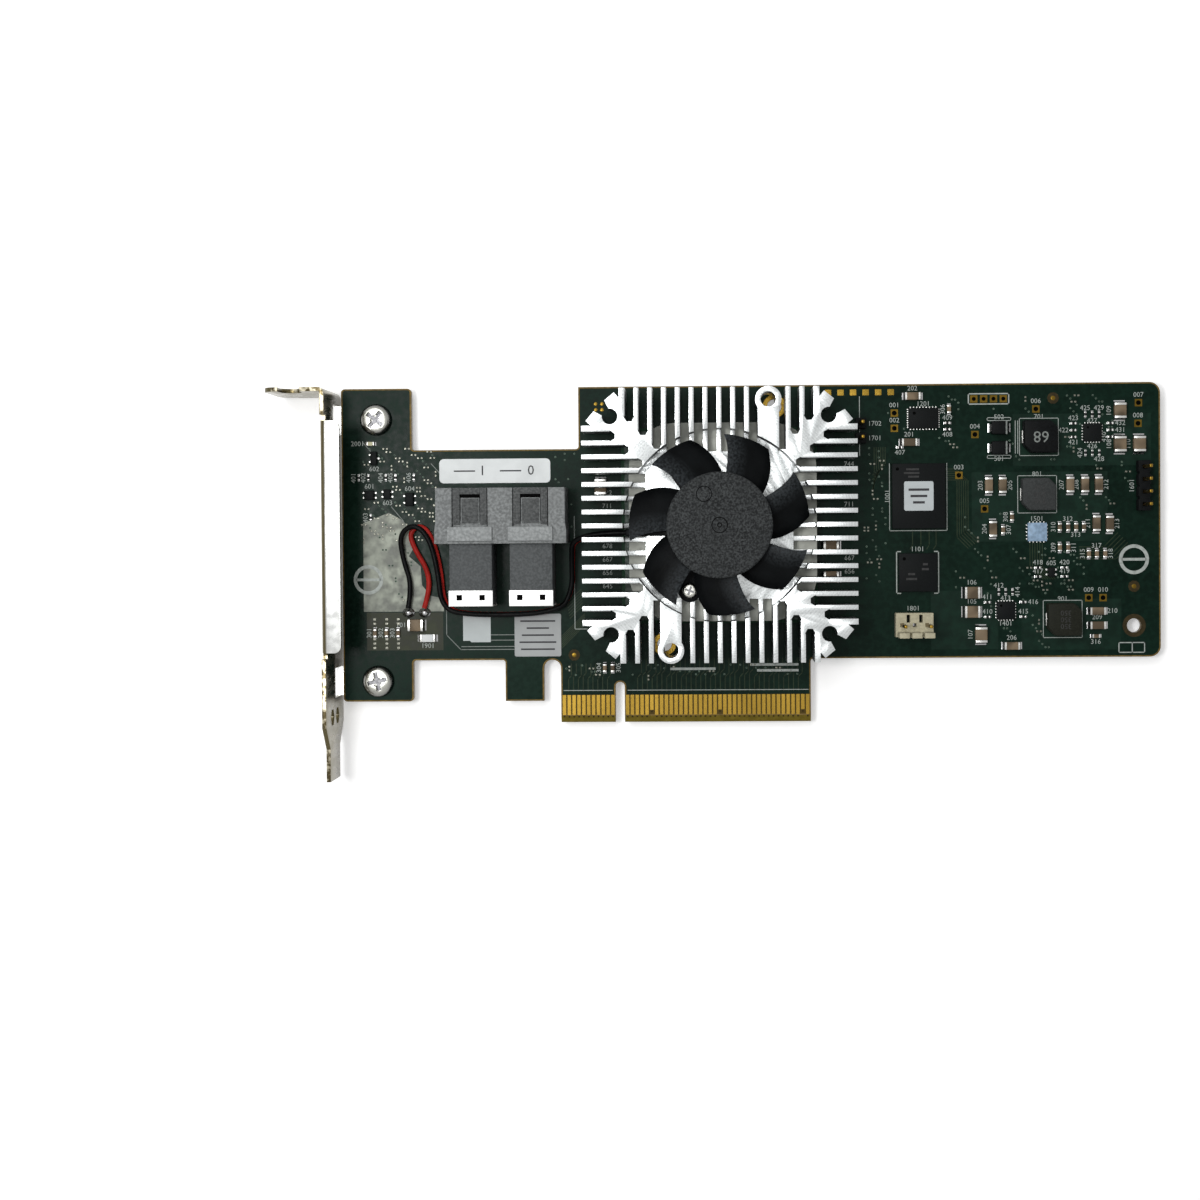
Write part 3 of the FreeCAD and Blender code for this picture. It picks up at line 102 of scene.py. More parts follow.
class CardColours(bpy.types.PropertyGroup):
    mask: colour("Solder mask", "Green of the board's faces", (0.0036, 0.0122, 0.0078))
    laminate: colour("Laminate", "Tan of the board's cut edges", (0.20, 0.135, 0.045))
    gold: colour("Gold", "Plating of contacts and pads", (0.215, 0.135, 0.021))
    ink: colour("Ink", "White print on the board", (0.43, 0.465, 0.44))
    aluminium: colour("Aluminium", "Bare metal of the heat sink", (0.53, 0.55, 0.55))
    steel: colour("Steel", "Plated sheet of the bracket", (0.72, 0.73, 0.72))
    black: colour("Black moulding", "Fan and header plastic", (0.0042, 0.0048, 0.0052))
    shroud: colour("Grey moulding", "Shroud of the ports", (0.205, 0.215, 0.215))
    body: colour("Dark grey moulding", "Rear bodies of the ports", (0.088, 0.094, 0.096))
    ceramic: colour("Ceramic", "Bodies of the chip capacitors", (0.14, 0.105, 0.068))
    red: colour("Red wire", "Insulation of the supply wire", (0.31, 0.018, 0.014))
    label: colour("Label", "Film of the labels", (0.80, 0.83, 0.83))


class CardSizes(bpy.types.PropertyGroup):
    fin_edge: length("Fin edge", "Rounding of the heat sink's edges", 0.00014)
    sheet_edge: length("Sheet edge", "Rounding of the bracket's edges", 0.00018)
    mould_edge: length("Moulded edge", "Rounding of plastic edges", 0.00022)
    chip_edge: length("Chip edge", "Rounding of chip edges", 0.00010)
    wire: length("Wire", "Diameter of a fan wire", 0.00105)
    ink_line: length("Ink line", "Width of a printed line", 0.00014)
    ink_rise: length("Ink thickness", "Height of print over the board", 0.000025)


class CardLight(bpy.types.PropertyGroup):
    sky: FloatProperty(name="Sky", description="Strength of the even light", default=0.27, min=0)
    key: power("Key", "Power of the large lamp behind the card", 0.92)
    overhead: power("Overhead", "Power of the lamp that reaches between the fins", 0.45)
    side: power("Side", "Power of the lamp at the bracket's side", 0.75)


# Materials, all on object coordinates in metres


class Finish:
    """A procedural material that is put together step by step."""

    # Half the width of the change from one colour to the next at a level
    SOFTNESS = 0.00002
    # What the wave texture's scale is divided by, so that a pitch is a pitch
    WAVE_TURN = 6.28

    def __init__(self, name, **sockets):
        self.material = bpy.data.materials.new(name)
        self.material.use_nodes = True
        self.nodes, self.links = self.material.node_tree.nodes, self.material.node_tree.links
        self.nodes.clear()
        self.shader = self.add("ShaderNodeBsdfPrincipled")
        output = self.add("ShaderNodeOutputMaterial")
        self.links.new(self.shader.outputs["BSDF"], output.inputs["Surface"])
        self.place = self.add("ShaderNodeTexCoord").outputs["Object"]
        for socket, value in sockets.items():
            self.shader.inputs[socket.replace("_", " ")].default_value = value

    def add(self, kind, **values):
        node = self.nodes.new(kind)
        for name, value in values.items():
            setattr(node, name, value)
        return node

    def join(self, source, node, socket):
        self.links.new(source, node.inputs[socket])

    def noise(self, size, detail=3.0, stretch=(1, 1, 1)):
        """Fractal noise with grains of about the given size in metres."""
        mapping = self.add("ShaderNodeMapping")
        mapping.inputs["Scale"].default_value = stretch
        self.join(self.place, mapping, "Vector")
        node = self.add("ShaderNodeTexNoise")
        node.inputs["Scale"].default_value = 1 / size
        node.inputs["Detail"].default_value = detail
        self.join(mapping.outputs["Vector"], node, "Vector")
        return node.outputs["Fac"]

    def rings(self, centre, pitch, roughen=2.0):
        """Turning marks round a centre given in millimetres."""
        mapping = self.add("ShaderNodeMapping")
        mapping.inputs["Location"].default_value = (-centre[0] * MM, -centre[1] * MM, 0)
        self.join(self.place, mapping, "Vector")
        wave = self.add("ShaderNodeTexWave", wave_type="RINGS", rings_direction="Z")
        wave.inputs["Scale"].default_value = 1 / pitch / self.WAVE_TURN
        wave.inputs["Distortion"].default_value = roughen
        wave.inputs["Detail"].default_value = 2.0
        self.join(mapping.outputs["Vector"], wave, "Vector")
        return wave.outputs["Fac"]

    def ramp(self, source, low, high, start=0.35, end=0.65):
        """A value that goes from low to high while its source goes from start to end."""
        node = self.add("ShaderNodeMapRange", clamp=True)
        for socket, value in (("From Min", start), ("From Max", end), ("To Min", low), ("To Max", high)):
            node.inputs[socket].default_value = value
        self.join(source, node, "Value")
        return node.outputs["Result"]

    def blend(self, factor, first, second):
        """A mix of two colours, each plain or worked out by other nodes."""
        node = self.add("ShaderNodeMix", data_type="RGBA")
        self.join(factor, node, "Factor")
        for socket, value in ((6, first), (7, second)):
            if isinstance(value, bpy.types.NodeSocket):
                self.links.new(value, node.inputs[socket])
            else:
                node.inputs[socket].default_value = (*value, 1)
        return node.outputs[2]

    def tint(self, source):
        self.join(source, self.shader, "Base Color")

    def gloss(self, source):
        self.join(source, self.shader, "Roughness")

    def bump(self, source, depth, strength):
        node = self.add("ShaderNodeBump")
        node.inputs["Strength"].default_value = strength
        node.inputs["Distance"].default_value = depth
        self.join(source, node, "Height")
        self.join(node.outputs["Normal"], self.shader, "Normal")

    def step(self, axis, level, before, after):
        """One value before a level in metres on an axis of the piece, and another past it."""
        split = self.add("ShaderNodeSeparateXYZ")
        self.join(self.place, split, "Vector")
        return self.ramp(split.outputs[axis], before, after, level - self.SOFTNESS, level + self.SOFTNESS)

    def painted(self, name):
        """A value that is kept on the points of the mesh."""
        return self.add("ShaderNodeAttribute", attribute_name=name).outputs["Fac"]

    def facing_up(self, start=0.45, end=0.55):
        """One on faces that look up or down, nothing on upright faces."""
        split = self.add("ShaderNodeSeparateXYZ")
        self.join(self.add("ShaderNodeTexCoord").outputs["Normal"], split, "Vector")
        size = self.add("ShaderNodeMath", operation="ABSOLUTE")
        self.join(split.outputs["Z"], size, 0)
        return self.ramp(size.outputs["Value"], 0, 1, start, end)


def scaled(rgb, factor):
    return tuple(min(1.0, channel * factor) for channel in rgb)


def moulded(name, rgb, grain=0.0003, contrast=1.8, rough=(0.5, 0.7), depth=0.00003, specular=0.06):
    """Moulded plastic with a fine spark-eroded grain."""
    finish = Finish(name, Specular_IOR_Level=specular)
    fine, broad = finish.noise(grain, detail=2.0), finish.noise(0.006)
    dark, pale = scaled(rgb, 1 / contrast), scaled(rgb, contrast)
    mottled = finish.blend(finish.ramp(fine, 0, 1, 0.38, 0.66), dark, pale)
    finish.tint(finish.blend(finish.ramp(broad, 0, 0.35), mottled, rgb))
    finish.gloss(finish.ramp(fine, *rough))
    finish.bump(fine, depth, strength=0.6)
    return finish.material


def metal(name, rgb, rough=(0.2, 0.35), grain=0.0008, stretch=(1, 1, 1), depth=0.000004, contrast=1.08,
          side=None, painted_fold_reflection=None):
    """Bare or plated metal with drawn or rolled marks; the other tones on its upright faces and folds are
    painted reflections of a darker room.
    """
    finish = Finish(name, Metallic=1.0)
    fine, broad = finish.noise(grain, detail=4.0, stretch=stretch), finish.noise(0.007)
    tone = finish.blend(finish.ramp(broad, 0, 1), scaled(rgb, 1 / contrast), rgb)
    # Painted reflections: one tone on the bends of folds, another on upright faces
    if painted_fold_reflection:
        tone = finish.blend(finish.facing_up(0.92, 0.995), painted_fold_reflection, tone)
    if side:
        tone = finish.blend(finish.facing_up(0.2, 0.5 if painted_fold_reflection else 0.9), side, tone)
    finish.tint(tone)
    finish.gloss(finish.ramp(fine, *rough))
    finish.bump(fine, depth, strength=0.5)
    return finish.material


def sheared_finish(dark, bright):
    """Sheared steel, torn into flecks; its dark warm tone is a painted reflection of a dark room and its
    bright flecks are painted glints.
    """
    finish = Finish("cut_sheet", Metallic=1.0)
    flecks = finish.noise(0.0012, detail=2.0)
    finish.tint(finish.blend(finish.ramp(flecks, 0, 1, 0.42, 0.60), dark, bright))
    finish.gloss(finish.ramp(flecks, 0.25, 0.4))
    finish.bump(flecks, 0.00002, strength=0.5)
    return finish.material


def printed(name, rgb, wear=0.72, grain=0.0006):
    """Printed ink or film, a little uneven, as it lies on the mask."""
    finish = Finish(name, Specular_IOR_Level=0.05, Roughness=0.75)
    patchy = finish.noise(grain, detail=4.0)
    finish.tint(finish.blend(finish.ramp(patchy, 0, 1, 0.3, 0.6), scaled(rgb, wear), rgb))
    return finish.material


def blade_finish(rgb):
    """Black plastic, painted grey towards each blade's raised edge as a painted highlight where the blade
    turns up to the light.
    """
    finish = Finish("blade_plastic", Specular_IOR_Level=0.035)
    fine, broad = finish.noise(0.00045, detail=2.0), finish.noise(0.005)
    grey = finish.blend(finish.ramp(fine, 0, 1, 0.36, 0.66), scaled(rgb, 2.6), scaled(rgb, 11))
    black = finish.blend(finish.ramp(broad, 0, 1), scaled(rgb, 0.6), scaled(rgb, 1.3))
    # Painted highlight: grained grey towards the raised edge, where the blade faces the light
    painted_highlight = finish.ramp(finish.painted("raised"), 0, 0.9, 0.55, 1.0)
    finish.tint(finish.blend(painted_highlight, black, grey))
    finish.gloss(finish.ramp(fine, 0.3, 0.5))
    finish.bump(fine, 0.00005, strength=0.6)
    return finish.material


def mask_finish(rgb, laminate):
    """Solder mask on the faces, bare laminate round the edge contacts that is darkened between them as
    painted shade, woven laminate on the cut edges.
    """
    # Bare laminate between the contacts, darkened further as the painted shade between them
    painted_shade_between_contacts = (0.075, 0.050, 0.012)
    dark_weave, pale_weave = (0.125, 0.092, 0.013), (0.165, 0.122, 0.019)
    before_contacts, past_contacts = 0.001, 0.00005
    finish = Finish("solder_mask", Specular_IOR_Level=0.035)
    broad, weave = finish.noise(0.022, detail=4.0), finish.noise(0.0011, detail=2.0)
    mottled = finish.blend(finish.ramp(broad, 0, 1, 0.3, 0.7), scaled(rgb, 0.72), scaled(rgb, 1.5))
    speckled = finish.blend(finish.ramp(weave, 0, 0.4, 0.4, 0.7), mottled, scaled(rgb, 2.2))
    low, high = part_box("edge_contacts")
    woven = finish.blend(finish.ramp(weave, 0, 1, 0.4, 0.7), dark_weave, pale_weave)
    bare = finish.blend(finish.step("Y", low.y, 1, 0), painted_shade_between_contacts, woven)
    tongue = finish.blend(finish.step("X", low.x - before_contacts, 0, 1), speckled, bare)
    face = finish.blend(finish.step("Y", high.y + past_contacts, 1, 0), speckled, tongue)
    layers = finish.noise(0.00035, stretch=(0.2, 0.2, 3))
    edge = finish.blend(finish.ramp(layers, 0, 1), scaled(laminate, 0.55), scaled(laminate, 1.25))
    finish.tint(finish.blend(finish.facing_up(), edge, face))
    finish.gloss(finish.ramp(weave, 0.22, 0.32))
    finish.bump(broad, 0.00002, strength=0.4)
    return finish.material


def aluminium_finish(rgb):
    """Machined tops with turning marks round the fan; the upright sides are painted darker as a painted shade
    between the fins.
    """
    finish = Finish("machined_aluminium", Metallic=1.0)
    turning, fine = finish.rings(AXIS, pitch=0.00028), finish.noise(0.00042)
    marked = finish.blend(finish.ramp(turning, 0, 0.55), rgb, scaled(rgb, 0.82))
    pitted = finish.blend(finish.ramp(fine, 0, 0.8, 0.5, 0.7), marked, scaled(rgb, 0.58))
    # Painted shade: upright faces take a darker tone than the tops
    finish.tint(finish.blend(finish.facing_up(), scaled(rgb, 0.62), pitted))
    finish.gloss(finish.ramp(fine, 0.24, 0.42))
    finish.bump(turning, 0.000004, strength=0.2)
    return finish.material


def gold_finish(name, rgb):
    """Gold plating with the wear of plugging in."""
    finish = Finish(name, Metallic=1.0)
    worn = finish.noise(0.004, detail=4.0, stretch=(1, 0.2, 1))
    fine = finish.noise(0.0003, stretch=(4, 0.4, 1))
    finish.tint(finish.blend(finish.ramp(worn, 0, 1), scaled(rgb, 0.74), rgb))
    finish.gloss(finish.ramp(fine, 0.2, 0.4))
    return finish.material


def ceramic_finish(name, rgb, contrast=1.5):
    """Fired ceramic whose tone differs from body to body."""
    finish = Finish(name, Specular_IOR_Level=0.1)
    broad, fine = finish.noise(0.0046, detail=1.0), finish.noise(0.0002, detail=2.0)
    dark, pale = scaled(rgb, 1 / contrast), scaled(rgb, contrast)
    finish.tint(finish.blend(finish.ramp(broad, 0, 1, 0.42, 0.58), dark, pale))
    finish.gloss(finish.ramp(fine, 0.35, 0.55))
    return finish.material


def wire_finish(name, rgb):
    """Smooth insulation with a little dust."""
    finish = Finish(name, Specular_IOR_Level=0.06)
    dust, broad = finish.noise(0.0005, detail=4.0), finish.noise(0.004, detail=2.0)
    finish.tint(finish.blend(finish.ramp(broad, 0, 1), scaled(rgb, 0.7), scaled(rgb, 1.25)))
    finish.gloss(finish.ramp(dust, 0.32, 0.5))
    finish.bump(dust, 0.00002, strength=0.4)
    return finish.material


# Gloss and bump that several mouldings and films share
FILM = dict(rough=(0.3, 0.45), depth=0.00001)
WORN_FILM = dict(rough=(0.3, 0.5), depth=0.00001)
BARE = dict(depth=0.00001, specular=0.05)
GRAINED = dict(depth=0.00004)
COIL = dict(rough=(0.45, 0.6), depth=0.00002)
PLATED = dict(rough=(0.2, 0.34))
DULL = dict(rough=(0.3, 0.5), grain=0.0003, depth=0.00001)


class Palette:
    """Every finish of the card, made once from the settings."""

    def __init__(self, colours):
        chosen = {name: tuple(getattr(colours, name)) for name in CardColours.__annotations__}
        self.board(chosen)
        self.prints(chosen)
        self.metals(chosen)
        self.mouldings(chosen)
        self.parts(chosen)

    def board(self, chosen):
        mask, laminate = chosen["mask"], chosen["laminate"]
        self.mask = mask_finish(mask, laminate)
        self.copper_area = moulded("masked_copper", scaled(mask, 1.5), grain=0.0016, contrast=1.25, **FILM)
        # Copper under the mask, painted pale grey as a painted sheen of glare at the bracket end
        self.painted_sheen_area = moulded("pale_masked_copper", (0.215, 0.23, 0.195), grain=0.0022, contrast=1.95,
                                 specular=0.12, **WORN_FILM)
        self.olive_area = moulded("olive_masked_copper", (0.038, 0.042, 0.029), grain=0.002, contrast=1.4,
                                  **WORN_FILM)
        self.trace = moulded("masked_trace", (0.024, 0.036, 0.020), grain=0.0012, contrast=1.3, **FILM)
        self.via = moulded("masked_via", (0.10, 0.14, 0.11), grain=0.0008, contrast=1.5, **FILM)
        self.rim = moulded("bare_rim", scaled(laminate, 0.8), grain=0.0008, contrast=1.4, **BARE)
        self.bare_ring = moulded("bare_laminate", (0.040, 0.030, 0.014), grain=0.0006, contrast=1.3, **BARE)
        self.tie_mark = moulded("cut_tie_mark", (0.030, 0.021, 0.006), grain=0.0006, contrast=1.3, **BARE)
        self.dark = moulded("hole_shadow", (0.003, 0.003, 0.003), grain=0.0005, contrast=1.4,
                            rough=(0.7, 0.9), depth=0.00001, specular=0.0)
        self.gold = gold_finish("gold_plate", chosen["gold"])
        self.dull_gold = gold_finish("dull_gold", scaled(chosen["gold"], 0.52))

    def prints(self, chosen):
        ink, label = chosen["ink"], chosen["label"]
        self.ink = printed("board_ink", ink)
        self.dim_ink = printed("dim_ink", scaled(ink, 0.55))
        self.print_block = printed("print_block", (0.52, 0.56, 0.56), wear=0.92, grain=0.003)
        self.chip_ink = printed("chip_ink", (0.055, 0.055, 0.055))
        self.label = printed("label_film", label, wear=0.9, grain=0.004)
        self.grey_label = printed("grey_label", scaled(label, 0.50), wear=0.9, grain=0.004)
        self.paper = printed("white_paper", (0.52, 0.56, 0.57), wear=0.93, grain=0.002)
        self.label_ink = printed("label_ink", (0.06, 0.06, 0.065))

    def metals(self, chosen):
        self.aluminium = aluminium_finish(chosen["aluminium"])
        # The warm side tone and the dark fold tone are painted reflections of a dark room on the bracket's
        # upright faces and bends
        self.steel = metal("plated_sheet", chosen["steel"], rough=(0.22, 0.36), grain=0.0014,
                           stretch=(1, 1, 0.25), depth=0.000002, contrast=1.25,
                           side=(0.235, 0.219, 0.172), painted_fold_reflection=(0.105, 0.088, 0.045))
        # Sheared edges: a dark warm tone that is a painted reflection, with bright flecks as painted glints
        self.cut_sheet = sheared_finish((0.075, 0.060, 0.030), (0.50, 0.46, 0.35))
        # The near-black side tone is a painted reflection of a dark room on the head's rounded sides
        self.screw = metal("nickel_screw", (0.345, 0.345, 0.315), grain=0.0009, depth=0.000001, contrast=1.2,
                           side=(0.035, 0.037, 0.045), **PLATED)
        # Dark steel for the plates on the recesses' floors: painted shade
        self.recess = metal("recess_steel", (0.12, 0.12, 0.125), contrast=1.6, **DULL)
        # The lid is painted near black as painted shade: it lies in the shade under the heat sink
        self.lid = metal("dark_lid", (0.030, 0.036, 0.032), rough=(0.4, 0.55), grain=0.0006)
        # The darker side tone is a painted reflection on upright faces
        self.tin = metal("tinned_metal", (0.47, 0.47, 0.45), rough=(0.22, 0.4), grain=0.0003, depth=0.00001,
                         contrast=1.2, side=(0.30, 0.30, 0.29))
        self.pad_tin = metal("dull_tin", (0.125, 0.125, 0.105), contrast=1.4, **DULL)
        self.clip = metal("bright_clip", (0.68, 0.68, 0.67), rough=(0.42, 0.55), grain=0.0024,
                          depth=0.0000001)
        # The darker side tone is a painted reflection on upright faces
        self.solder = metal("solder", (0.46, 0.46, 0.46), grain=0.0004, depth=0.00002, contrast=1.4,
                            side=(0.24, 0.24, 0.24), **PLATED)
        self.bronze = metal("sintered_bronze", (0.52, 0.36, 0.17), rough=(0.4, 0.6), grain=0.0003)
        self.copper = metal("enamelled_copper", (0.62, 0.27, 0.12), rough=(0.25, 0.4), grain=0.0003,
                            stretch=(1, 1, 8))
        self.iron = metal("lamination_iron", (0.30, 0.30, 0.31), rough=(0.4, 0.6), grain=0.0004,
                          stretch=(1, 1, 6))

    def mouldings(self, chosen):
        black, shroud = chosen["black"], chosen["shroud"]
        self.magnet = moulded("bonded_magnet", (0.03, 0.03, 0.033), grain=0.0004)
        self.fan = moulded("fan_plastic", black, grain=0.0007, rough=(0.3, 0.45), depth=0.00008,
                           specular=0.035)
        self.blade = blade_finish(black)
        self.hub = moulded("grained_hub", (0.0325, 0.0348, 0.0355), grain=0.00036, contrast=2.1,
                           rough=(0.45, 0.65), depth=0.00006, specular=0.02)
        self.black = moulded("header_plastic", black, grain=0.0004, contrast=1.5)
        self.shroud = moulded("grained_shroud", shroud, grain=0.00052, contrast=1.35, **GRAINED)
        self.shroud_bar = moulded("pale_shroud", scaled(shroud, 1.45), grain=0.00052, contrast=1.25)
        self.latch = moulded("dark_latch", scaled(shroud, 0.42), grain=0.00045, contrast=1.5, **GRAINED)
        self.body = moulded("grained_body", chosen["body"], grain=0.00045, contrast=1.3, rough=(0.45, 0.65),
                            depth=0.00004)
        self.ivory = moulded("ivory_moulding", (0.44, 0.41, 0.29), grain=0.0006, contrast=1.12,
                             rough=(0.4, 0.55), depth=0.00002, specular=0.12)
        self.pad = moulded("soft_pad", (0.50, 0.51, 0.46), grain=0.0016, contrast=1.12, **GRAINED)
        self.black_wire = wire_finish("black_insulation", (0.0035, 0.0036, 0.0038))
        self.red_wire = wire_finish("red_insulation", chosen["red"])

    def parts(self, chosen):
        self.substrate = moulded("chip_substrate", (0.02, 0.055, 0.03), grain=0.0007, contrast=1.3,
                                 rough=(0.4, 0.6), depth=0.00001)
        self.chip = moulded("moulded_chip", (0.0052, 0.0062, 0.0064), grain=0.00025, contrast=1.35,
                            rough=(0.45, 0.6), depth=0.00001)
        self.chip_blue = moulded("blue_chip", (0.25, 0.36, 0.49), grain=0.0008, contrast=1.25,
                                 rough=(0.25, 0.4), depth=0.00001, specular=0.2)
        self.coil_black = moulded("black_coil", (0.0034, 0.0039, 0.0042), grain=0.0004, contrast=1.6,
                                  rough=(0.4, 0.55))
        self.coil_grey = moulded("grey_coil", (0.042, 0.045, 0.045), contrast=1.25, **COIL)
        self.coil_olive = moulded("olive_coil", (0.015, 0.016, 0.0115), contrast=1.3, **COIL)
        self.ceramic = ceramic_finish("chip_ceramic", chosen["ceramic"])
        self.resistor = moulded("resistor_film", (0.012, 0.012, 0.013), contrast=1.5, specular=0.12,
                                **WORN_FILM)
        self.fuse = ceramic_finish("fuse_ceramic", (0.62, 0.64, 0.64), contrast=1.1)
        self.lens = ceramic_finish("lamp_lens", (0.62, 0.60, 0.40), contrast=1.2)


STATE = {}


def palette():
    if "palette" not in STATE:
        STATE["palette"] = Palette(bpy.context.scene.card_colours)
    return STATE["palette"]


# Meshes. Places are in millimetres until a piece is finished.


class Shape:
    """A mesh that is put together from blocks, turned forms and outlines."""

    def __init__(self):
        self.mesh = bmesh.new()

    def _mark(self, faces, finish):
        for face in faces:
            face.material_index = finish

    def _finish_part(self, points, finish, edge, rounds):
        faces = {face for point in points for face in point.link_faces}
        if edge:
            edges = list({line for face in faces for line in face.edges})
            made = bmesh.ops.bevel(self.mesh, geom=edges, offset=edge, segments=rounds, profile=0.5,
                                   affect="EDGES", clamp_overlap=True)
            faces = {face for face in faces if face.is_valid} | set(made["faces"])
        self._mark(faces, finish)

    def block(self, low, high, finish=0, edge=0.0, rounds=2):
        """A block between two corners."""
        low, high = Vector(low), Vector(high)
        place = Matrix.Translation((low + high) / 2) @ Matrix.Diagonal((*(high - low), 1))
        made = bmesh.ops.create_cube(self.mesh, size=1, matrix=place)
        self._finish_part(made["verts"], finish, edge, rounds)
        return self

    def bar(self, x, y, size, low, rise):
        """A flat bar, given by its middle, its length and width, and its height."""
        wide, tall = size
        return self.block((x - wide / 2, y - tall / 2, low), (x + wide / 2, y + tall / 2, low + rise))

    def outline(self, corners, low, high, finish=0, edge=0.0, rounds=2):
        """A flat outline of corners pulled up from one height to another."""
        floor = [self.mesh.verts.new((x, y, low)) for x, y in corners]
        roof = [self.mesh.verts.new((x, y, high)) for x, y in corners]
        count = len(corners)
        faces = [self.mesh.faces.new(floor[::-1]), self.mesh.faces.new(roof)]
        for i in range(count):
            j = (i + 1) % count
            faces.append(self.mesh.faces.new((floor[i], floor[j], roof[j], roof[i])))
        bmesh.ops.recalc_face_normals(self.mesh, faces=faces)
        self._finish_part(floor + roof, finish, edge, rounds)
        return self

    def turned(self, profile, centre, sides=32, finish=0):
        """A profile of radius and height turned round an upright axis."""
        rows = []
        for radius, height in profile:
            if radius == 0:
                rows.append([self.mesh.verts.new((*centre, height))])
                continue
            angles = [2 * pi * k / sides for k in range(sides)]
            spots = [(centre[0] + radius * cos(angle), centre[1] + radius * sin(angle)) for angle in angles]
            rows.append([self.mesh.verts.new((x, y, height)) for x, y in spots])
        faces = []
        for first, second in zip(rows, rows[1:]):
            for k in range(sides):
                n = (k + 1) % sides
                ring = [first[k % len(first)], first[n % len(first)], second[n % len(second)],
                        second[k % len(second)]]
                ring = list(dict.fromkeys(ring))
                if len(ring) > 2:
                    faces.append(self.mesh.faces.new(ring))
        bmesh.ops.recalc_face_normals(self.mesh, faces=faces)
        self._mark(faces, finish)
        return self

    def ring(self, centre, inner, outer, low, high, sides):
        """A flat ring with four walls."""
        profile = [(inner, low), (outer, low), (outer, high), (inner, high), (inner, low)]
        return self.turned(profile, centre, sides)

    def line(self, points, width, low, high):
        """A printed line or a trace as separate flat bars that overlap at the bends."""
        for (x0, y0), (x1, y1) in zip(points, points[1:]):
            run = Vector((x1 - x0, y1 - y0)).normalized()
            side, reach = Vector((-run.y, run.x)) * width / 2, run * width / 2
            a, b = Vector((x0, y0)) - reach, Vector((x1, y1)) + reach
            self.outline([tuple(a - side), tuple(b - side), tuple(b + side), tuple(a + side)], low, high)
        return self

    def frame(self, left, low, right, high, width, bottom, top):
        """Four lines round a rectangle."""
        corners = rectangle(left, low, right, high)
        return self.line(corners + corners[:1], width, bottom, top)

    def piece(self, name, finishes, smooth=32):
        """The finished object, with its place in its mesh."""
        bmesh.ops.scale(self.mesh, vec=(MM, MM, MM), verts=self.mesh.verts)
        return mesh_piece(name, self.mesh, finishes, smooth)

    def data(self, name):
        """The plain mesh as it is, for a template."""
        data = bpy.data.meshes.new(name)
        self.mesh.to_mesh(data)
        self.mesh.free()
        return data


def rectangle(left, low, right, high):
    return [(left, low), (right, low), (right, high), (left, high)]


def rounded_rectangle(left, low, right, high, radius, steps):
    """A rectangle whose corners are rounded, each in so many steps."""
    points = []
    for x, y, start in ((right, high, 0), (left, high, 90), (left, low, 180), (right, low, 270)):
        inner_x = x - radius if x == right else x + radius
        inner_y = y - radius if y == high else y + radius
        for step in range(steps + 1):
            angle = radians(start + 90 * step / steps)
            points.append((inner_x + radius * cos(angle), inner_y + radius * sin(angle)))
    return points


def mesh_piece(name, grid, finishes, smooth=32):
    data = bpy.data.meshes.new(name)
    grid.to_mesh(data)
    grid.free()
    return data_piece(name, data, finishes, smooth)


def data_piece(name, data, finishes, smooth=32):
    """An object of a mesh, with edges sharper than the given angle left sharp."""
    data.name = name
    if len(finishes) == 1:
        data.materials.clear()
    for finish in finishes:
        data.materials.append(finish)
    if smooth:
        data.shade_smooth()
        data.set_sharp_from_angle(angle=radians(smooth))
    item = bpy.data.objects.new(name, data)
    bpy.context.scene.collection.objects.link(item)
    return item


def settle(item, slot, body="card", stands_for=()):
    """Puts a finished piece on its body."""
    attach(item, body)
    if stands_for:
        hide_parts(*stands_for)
    return item


def dress(node, name, finishes, edge, slot, rounds=2, angle=25, sort=None):
    """A merged copy of a solid with rounded edges, which stands for it."""
    grid = merged(node)
    sharp = [line for line in grid.edges
             if len(line.link_faces) == 2 and line.calc_face_angle(0) > radians(angle)]
    bmesh.ops.bevel(grid, geom=sharp, offset=edge, segments=rounds, profile=0.5, affect="EDGES",
                    clamp_overlap=True)
    for face in grid.faces:
        face.material_index = sort(face) if sort else 0
    return settle(mesh_piece(name, grid, finishes), slot, stands_for=[node])


# Points of a solid that are nearer than this, in metres, are one point
WELD = 2e-6
# Triangles that meet at less than this angle, in degrees, are one face
FLAT = 1.0


def welded(node):
    """A copy of a solid's mesh with its loose triangles joined at their points."""
    grid = bmesh.new()
    grid.from_mesh(NODES[node].data)
    bmesh.ops.remove_doubles(grid, verts=grid.verts, dist=WELD)
    return grid


def merged(node):
    """A copy of a solid's mesh with its triangles joined into faces."""
    grid = welded(node)
    bmesh.ops.dissolve_limit(grid, angle_limit=radians(FLAT), verts=grid.verts, edges=grid.edges)
    return grid


def coat(node, finish):
    """Gives a solid that stays as it is its finish."""
    data = NODES[node].data
    data.materials.clear()
    data.materials.append(finish)


def islands(node):
    """Boxes of the separate solids in a node, in millimetres."""
    grid = welded(node)
    left, boxes = set(grid.verts), []
    while left:
        group, todo = set(), [left.pop()]
        while todo:
            point = todo.pop()
            group.add(point)
            near = {line.other_vert(point) for line in point.link_edges} & left
            left -= near
            todo += near
        places = [point.co / MM for point in group]
        boxes.append((Vector(map(min, zip(*places))), Vector(map(max, zip(*places)))))
    grid.free()
    return sorted(boxes, key=lambda ends: (round(ends[0].x, 3), round(ends[0].y, 3)))


# What repeats is spread over points by one node tree


